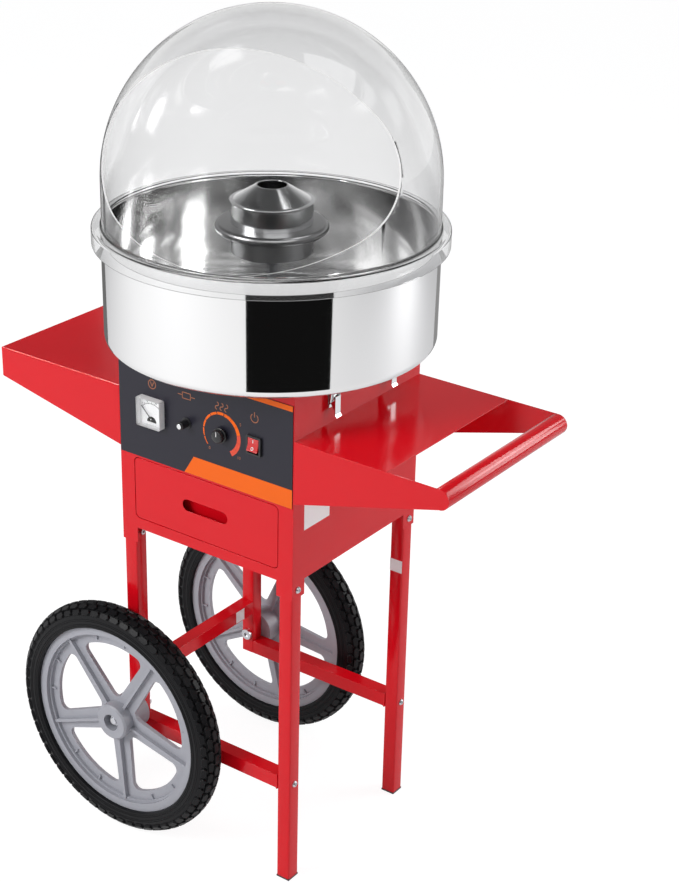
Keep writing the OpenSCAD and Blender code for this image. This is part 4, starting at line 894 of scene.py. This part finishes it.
def spun_metal(name, colour, inside, outside, wall_r):
    """Metal with faint turning rings round the cart's axis, and one roughness each side of a wall."""
    m = finish(name, colour, outside, 1.0)
    n, l = m.node_tree.nodes, m.node_tree.links
    where, centred = n.new("ShaderNodeTexCoord"), n.new("ShaderNodeMapping")
    parts = n.new("ShaderNodeSeparateXYZ")
    centred.inputs["Location"].default_value = (-mid_x, 0, 0)
    l.new(where.outputs["Object"], centred.inputs["Vector"])
    l.new(centred.outputs["Vector"], parts.inputs["Vector"])
    flat, rings = n.new("ShaderNodeCombineXYZ"), n.new("ShaderNodeCombineXYZ")
    l.new(parts.outputs["X"], flat.inputs["X"])
    l.new(parts.outputs["Y"], flat.inputs["Y"])
    radius = n.new("ShaderNodeVectorMath")
    radius.operation = "LENGTH"
    l.new(flat.outputs["Vector"], radius.inputs[0])
    l.new(radius.outputs["Value"], rings.inputs["X"])
    l.new(parts.outputs["Z"], rings.inputs["Y"])
    lines = n.new("ShaderNodeTexNoise")
    lines.inputs["Scale"].default_value = 420
    lines.inputs["Detail"].default_value = 2
    l.new(rings.outputs["Vector"], lines.inputs["Vector"])
    within = n.new("ShaderNodeMapRange")
    step = 0.0001
    for socket, value in (("From Min", wall_r - step), ("From Max", wall_r + step), ("To Min", inside),
                          ("To Max", outside)):
        within.inputs[socket].default_value = value
    l.new(radius.outputs["Value"], within.inputs["Value"])
    uneven = n.new("ShaderNodeMath")
    uneven.operation = "MULTIPLY_ADD"
    uneven.inputs[1].default_value = 0.03
    l.new(lines.outputs["Fac"], uneven.inputs[0])
    l.new(within.outputs["Result"], uneven.inputs[2])
    l.new(uneven.outputs["Value"], n["Principled BSDF"].inputs["Roughness"])
    return m


polished = spun_metal("polished_stainless", (0.84, 0.84, 0.84), 0.10, 0.03, 0.2594)
bowl_floor, bowl_inside, bowl_r, bowl_rim = 0.875, 0.8762, 0.260, 1.056
bead_round, ring_round = 0.003, 0.0025
neck_r, neck_out, neck_top = 0.0300, 0.0312, 0.9010
inner = [(0.2588, bowl_inside, 0.0128)]
for share in (0.70, 0.56, 0.42):
    for i in range(9):
        a = math.pi * i / 8
        inner.append((share * bowl_r + ring_round * math.cos(a), bowl_inside + ring_round * math.sin(a)))
bead = [(bowl_r + bead_round * math.cos(math.radians(t)), bowl_rim + bead_round * math.sin(math.radians(t)))
        for t in range(-75, 256, 15)]
bowl_outline = softened([(neck_r, bowl_floor), (bowl_r, bowl_floor, 0.014)] + bead + inner
                        + [(neck_out, bowl_inside, 0.002), (neck_out, neck_top), (neck_r, neck_top)], 10)
bowl_mesh = turned("bowl_spun", bowl_outline, 256)
bowl_mesh.transform(Matrix.Translation((mid_x, 0, 0)))
settle("bowl_spun", bowl_mesh, polished, "cart", ["bowl"], 40)
catch_outline = [(0.177, bowl_floor), (0.177, 0.8735), (0.1825, 0.8735), (0.1825, 0.862), (0.184, 0.862),
                 (0.184, bowl_floor)]
catch_y, catch_half = 0.075, 0.009
bm = bmesh.new()
for sx in (-1, 1):
    for sy in (-1, 1):
        plate(bm, *[[bm.verts.new((mid_x + sx * x, sy * catch_y + t, z)) for x, z in catch_outline]
                    for t in (-catch_half, catch_half)])
settle("bowl_catches", mesh_from(bm, "bowl_catches"), polished, "cart", [])

# Dome
# Blown from clear acrylic with a turned-down lip that sits over the bowl's rim, and a large oval serving
# mouth whose sawn edge is pale and glows with a painted highlight.
acrylic = grain(finish("clear_acrylic", (0.955, 0.956, 0.958), 0.0, Transmission_Weight=1.0, IOR=1.49),
                0.09, 0.004, 0.012)
# The sawn edge glows white: a painted highlight, though the edge is no lamp.
sawn_edge = grain(finish("sawn_edge", (0.9, 0.9, 0.9), 0.5, Emission_Color=(1, 1, 1, 1),
                         Emission_Strength=0.45), 0.0008, 0.1, 0.05, 0.04)
dome_mid, dome_r, dome_wall = 1.1302, 0.259, 0.003
outer_arc = [(dome_r * math.cos(math.radians(1.5 * i)), dome_mid + dome_r * math.sin(math.radians(1.5 * i)))
             for i in range(61)]
inner_arc = [((dome_r - dome_wall) * math.cos(math.radians(90 - 1.5 * i)),
              dome_mid + (dome_r - dome_wall) * math.sin(math.radians(90 - 1.5 * i))) for i in range(61)]
outer_arc[-1], inner_arc[0] = (0, dome_mid + dome_r), (0, dome_mid + dome_r - dome_wall)
lip_r, lip_bore, lip_low, lip_top, lip_seat = 0.275, 0.272, 1.0342, 1.0622, 1.0592
dome_outline = softened([(lip_bore, lip_low, 0.0008), (lip_r, lip_low, 0.0008), (lip_r, lip_top, 0.005),
                         (dome_r, lip_top, 0.003)] + outer_arc + inner_arc
                        + [(0.256, lip_seat, 0.001), (lip_bore, lip_seat, 0.002)], 6)
dome_mesh = turned("dome_blown", dome_outline, 192)
dome_mesh.transform(Matrix.Translation((mid_x, 0, 0)))
dome_mesh.materials.append(acrylic)
mouth_half_w, mouth_half_h, end_r = 0.226, 0.159, 0.120
mouth_turn, mouth_tilt, mouth_deep, mouth_steps = 20, 22, 0.4, 160
end_x, rest = mouth_half_w - end_r, mouth_half_h - end_r
drop = (end_x * end_x - rest * rest) / (2 * rest)
big_r = mouth_half_h + drop
join_x = end_x * big_r / (big_r - end_r)
oval = []
for i in range(mouth_steps):
    a = 2 * math.pi * (i + 0.5) / mouth_steps
    d = Vector((math.cos(a), math.sin(a)))
    reaches = []
    for c, r in ((Vector((0, -math.copysign(drop, d.y))), big_r),
                 (Vector((math.copysign(end_x, d.x), 0)), end_r)):
        along = d.dot(c)
        reaches.append(along + math.sqrt(along * along - c.dot(c) + r * r))
    oval.append(d * (reaches[0] if abs(d.x) * reaches[0] < join_x else reaches[1]))
place = (Matrix.Translation((mid_x, 0, dome_mid)) @ Matrix.Rotation(math.radians(mouth_turn), 4, "Z")
         @ Matrix.Rotation(math.radians(90 - mouth_tilt), 4, "X"))
bm = bmesh.new()
plate(bm, *[[bm.verts.new(place @ Vector((p.x, p.y, t))) for p in oval] for t in (0.0, mouth_deep)])
cutter_mesh = mesh_from(bm, "mouth_cutter")
cutter_mesh.materials.append(sawn_edge)
cutter = bpy.data.objects.new("mouth_cutter", cutter_mesh)
raw = bpy.data.objects.new("dome_raw", dome_mesh)
scene.collection.objects.link(cutter)
scene.collection.objects.link(raw)
cut = raw.modifiers.new("mouth", "BOOLEAN")
cut.object, cut.operation, cut.solver, cut.material_mode = cutter, "DIFFERENCE", "EXACT", "TRANSFER"
blown = bpy.data.meshes.new_from_object(raw.evaluated_get(bpy.context.evaluated_depsgraph_get()))
bpy.data.objects.remove(raw)
bpy.data.objects.remove(cutter)
blown.name = "dome_blown"
blown.shade_smooth()
blown.set_sharp_from_angle(angle=math.radians(35))
dome = bpy.data.objects.new("dome_blown", blown)
scene.collection.objects.link(dome)
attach(dome, "dome_body")
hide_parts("dome")
spared = bpy.data.collections.new("spared_by_lamps")
spared.objects.link(dome)
spared.collection_objects[0].light_linking.link_state = "EXCLUDE"
key_light.light_linking.receiver_collection = side_light.light_linking.receiver_collection = spared

# Spinning head
# Turned from cast aluminium and polished: a drum with a floor, a wide rounded flange and a cover whose
# cone leaves the round sugar opening. The drum and flange are rougher, with painted shade darkening their
# colour.
polished_cast = spun_metal("polished_cast", (0.70, 0.705, 0.71), 0.14, 0.14, 0.2)
# The drum's darker colour is painted shade, and its greater roughness is its own duller finish.
dull_cast = spun_metal("dull_cast", (0.34, 0.34, 0.345), 0.3, 0.3, 0.2)
base_outline = softened([(0.008, 1.015), (0.0635, 1.015, 0.002), (0.0635, 1.048, 0.003),
                         (0.0875, 1.048, 0.0065),
                         (0.0875, 1.062, 0.0065), (0.0602, 1.062), (0.0602, 1.019, 0.002), (0.016, 1.019),
                         (0.016, 1.033), (0.008, 1.033)], 6)
head_mesh = turned("head_base_turned", base_outline, 128)
head_mesh.transform(Matrix.Translation((mid_x, 0, 0)))
settle("head_base_turned", head_mesh, dull_cast, "spinner", ["head_base"])
cover_outline = softened([(0.0602, 1.0622), (0.0635, 1.0622), (0.0635, 1.094, 0.001), (0.065, 1.094, 0.0007),
                          (0.065, 1.098, 0.0012), (0.0595, 1.098, 0.003), (0.025, 1.12, 0.001),
                          (0.023, 1.12, 0.0006), (0.023, 1.116), (0.0602, 1.094)], 5)
cover_mesh = turned("head_cover_turned", cover_outline, 128)
cover_mesh.transform(Matrix.Translation((mid_x, 0, 0)))
settle("head_cover_turned", cover_mesh, polished_cast, "spinner", ["head_cover"])

# Drive inside the cabinet
# Motor on rubber mounts, shaft, heating band, slip rings and their brushes: plain pieces that only show
# when the covers are off.


def dress(node, coat):
    """A CAD node kept as it is, with a better finish."""
    for s in cad[node].material_slots:
        s.material = coat


motor_enamel = grain(finish("motor_enamel", (0.10, 0.105, 0.115), 0.4), 0.0012, 0.08, 0.06, 0.06)
mount_rubber = grain(finish("mount_rubber", (0.02, 0.02, 0.02), 0.6), 0.001, 0.1, 0.06, 0.1)
ring_brass = grain(finish("ring_brass", (0.62, 0.40, 0.13), 0.25, 1.0), 0.0006, 0.05, 0.06, 0.06)
brush_carbon = grain(finish("brush_carbon", (0.03, 0.03, 0.032), 0.55), 0.0006, 0.1, 0.05, 0.1)
ribbon_alloy = grain(finish("ribbon_alloy", (0.28, 0.20, 0.15), 0.35, 1.0), 0.0006, 0.1, 0.08, 0.15)
shaft_steel = grain(finish("shaft_steel", (0.62, 0.63, 0.65), 0.24, 1.0), 0.0006, 0.05, 0.06, 0.05)
for node, coat in (("motor", motor_enamel), ("motor_mounts", mount_rubber), ("slip_rings", ring_brass),
                   ("ring_sleeve", black_moulding), ("brush_holder", black_moulding),
                   ("carbon_brushes", brush_carbon), ("heating_ribbon", ribbon_alloy),
                   ("spinner_shaft", shaft_steel)):
    dress(node, coat)

# Latches
# Four small polished draw latches on the cabinet's sides: a riveted base, a lever and a wire bail that
# hooks on the bowl's catch.
latch_steel = grain(finish("latch_steel", (0.74, 0.75, 0.76), 0.08, 1.0), 0.0006, 0.04, 0.05, 0.04)
eased("latch_bases", 0.0003, latch_steel, "cart")
for corner in ("rf", "rb", "lf", "lb"):
    eased("latch_lever_" + corner, 0.00035, latch_steel, "lever_" + corner)
    dress("latch_bail_" + corner, latch_steel)

# Blank labels
# White paper stickers with nothing printed on them: one on the right side sheet and two small ones on the
# frame.
paper = grain(finish("label_paper", (0.96, 0.96, 0.96), 0.6), 0.0012, 0.04, 0.05, 0.03)


def sticker(name, corner, along, across):
    """A thin sheet from one corner, its normal along x across, lying 0.1 mm proud."""
    a, b = Vector(along), Vector(across)
    out = a.cross(b).normalized()
    bm = bmesh.new()
    plate(bm, *[[bm.verts.new(Vector(corner) + p + out * lift) for p in (a * 0, a, a + b, b)]
                for lift in (0.00012, -0.00005)])
    settle(name, mesh_from(bm, name), paper, "cart")


sticker("side_label", (mid_x + 0.172, -0.139, 0.642), (0, 0.065, 0), (0, 0, 0.048))
sticker("leg_label", (mid_x + 0.146, 0.1405, 0.445), (0.024, 0, 0), (0, 0, 0.023))
sticker("bar_label", (mid_x - 0.1455, 0.092, 0.2575), (0, 0.023, 0), (0, 0, 0.022))

# Mains inlet
# A black flanged inlet on the back cover with three flat blades in its recess.
eased("mains_inlet", 0.0005, black_moulding, "cart")
bm = bmesh.new()
inlet_x, blade_y, inlet_z, blade_size = 0.086, 0.1607, 0.7285, (0.002, 0.0116, 0.004, 1)
for dx, dz in ((-0.007, -0.002), (0, 0.0025), (0.007, -0.002)):
    place = Matrix.Translation((mid_x + inlet_x + dx, blade_y, inlet_z + dz)) @ Matrix.Diagonal(blade_size)
    bmesh.ops.create_cube(bm, size=1, matrix=place)
bmesh.ops.bevel(bm, geom=bm.edges[:], offset=0.0004, segments=2, affect="EDGES")
settle("inlet_blades", mesh_from(bm, "inlet_blades"), zinc_plate, "cart", [])

low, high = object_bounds()
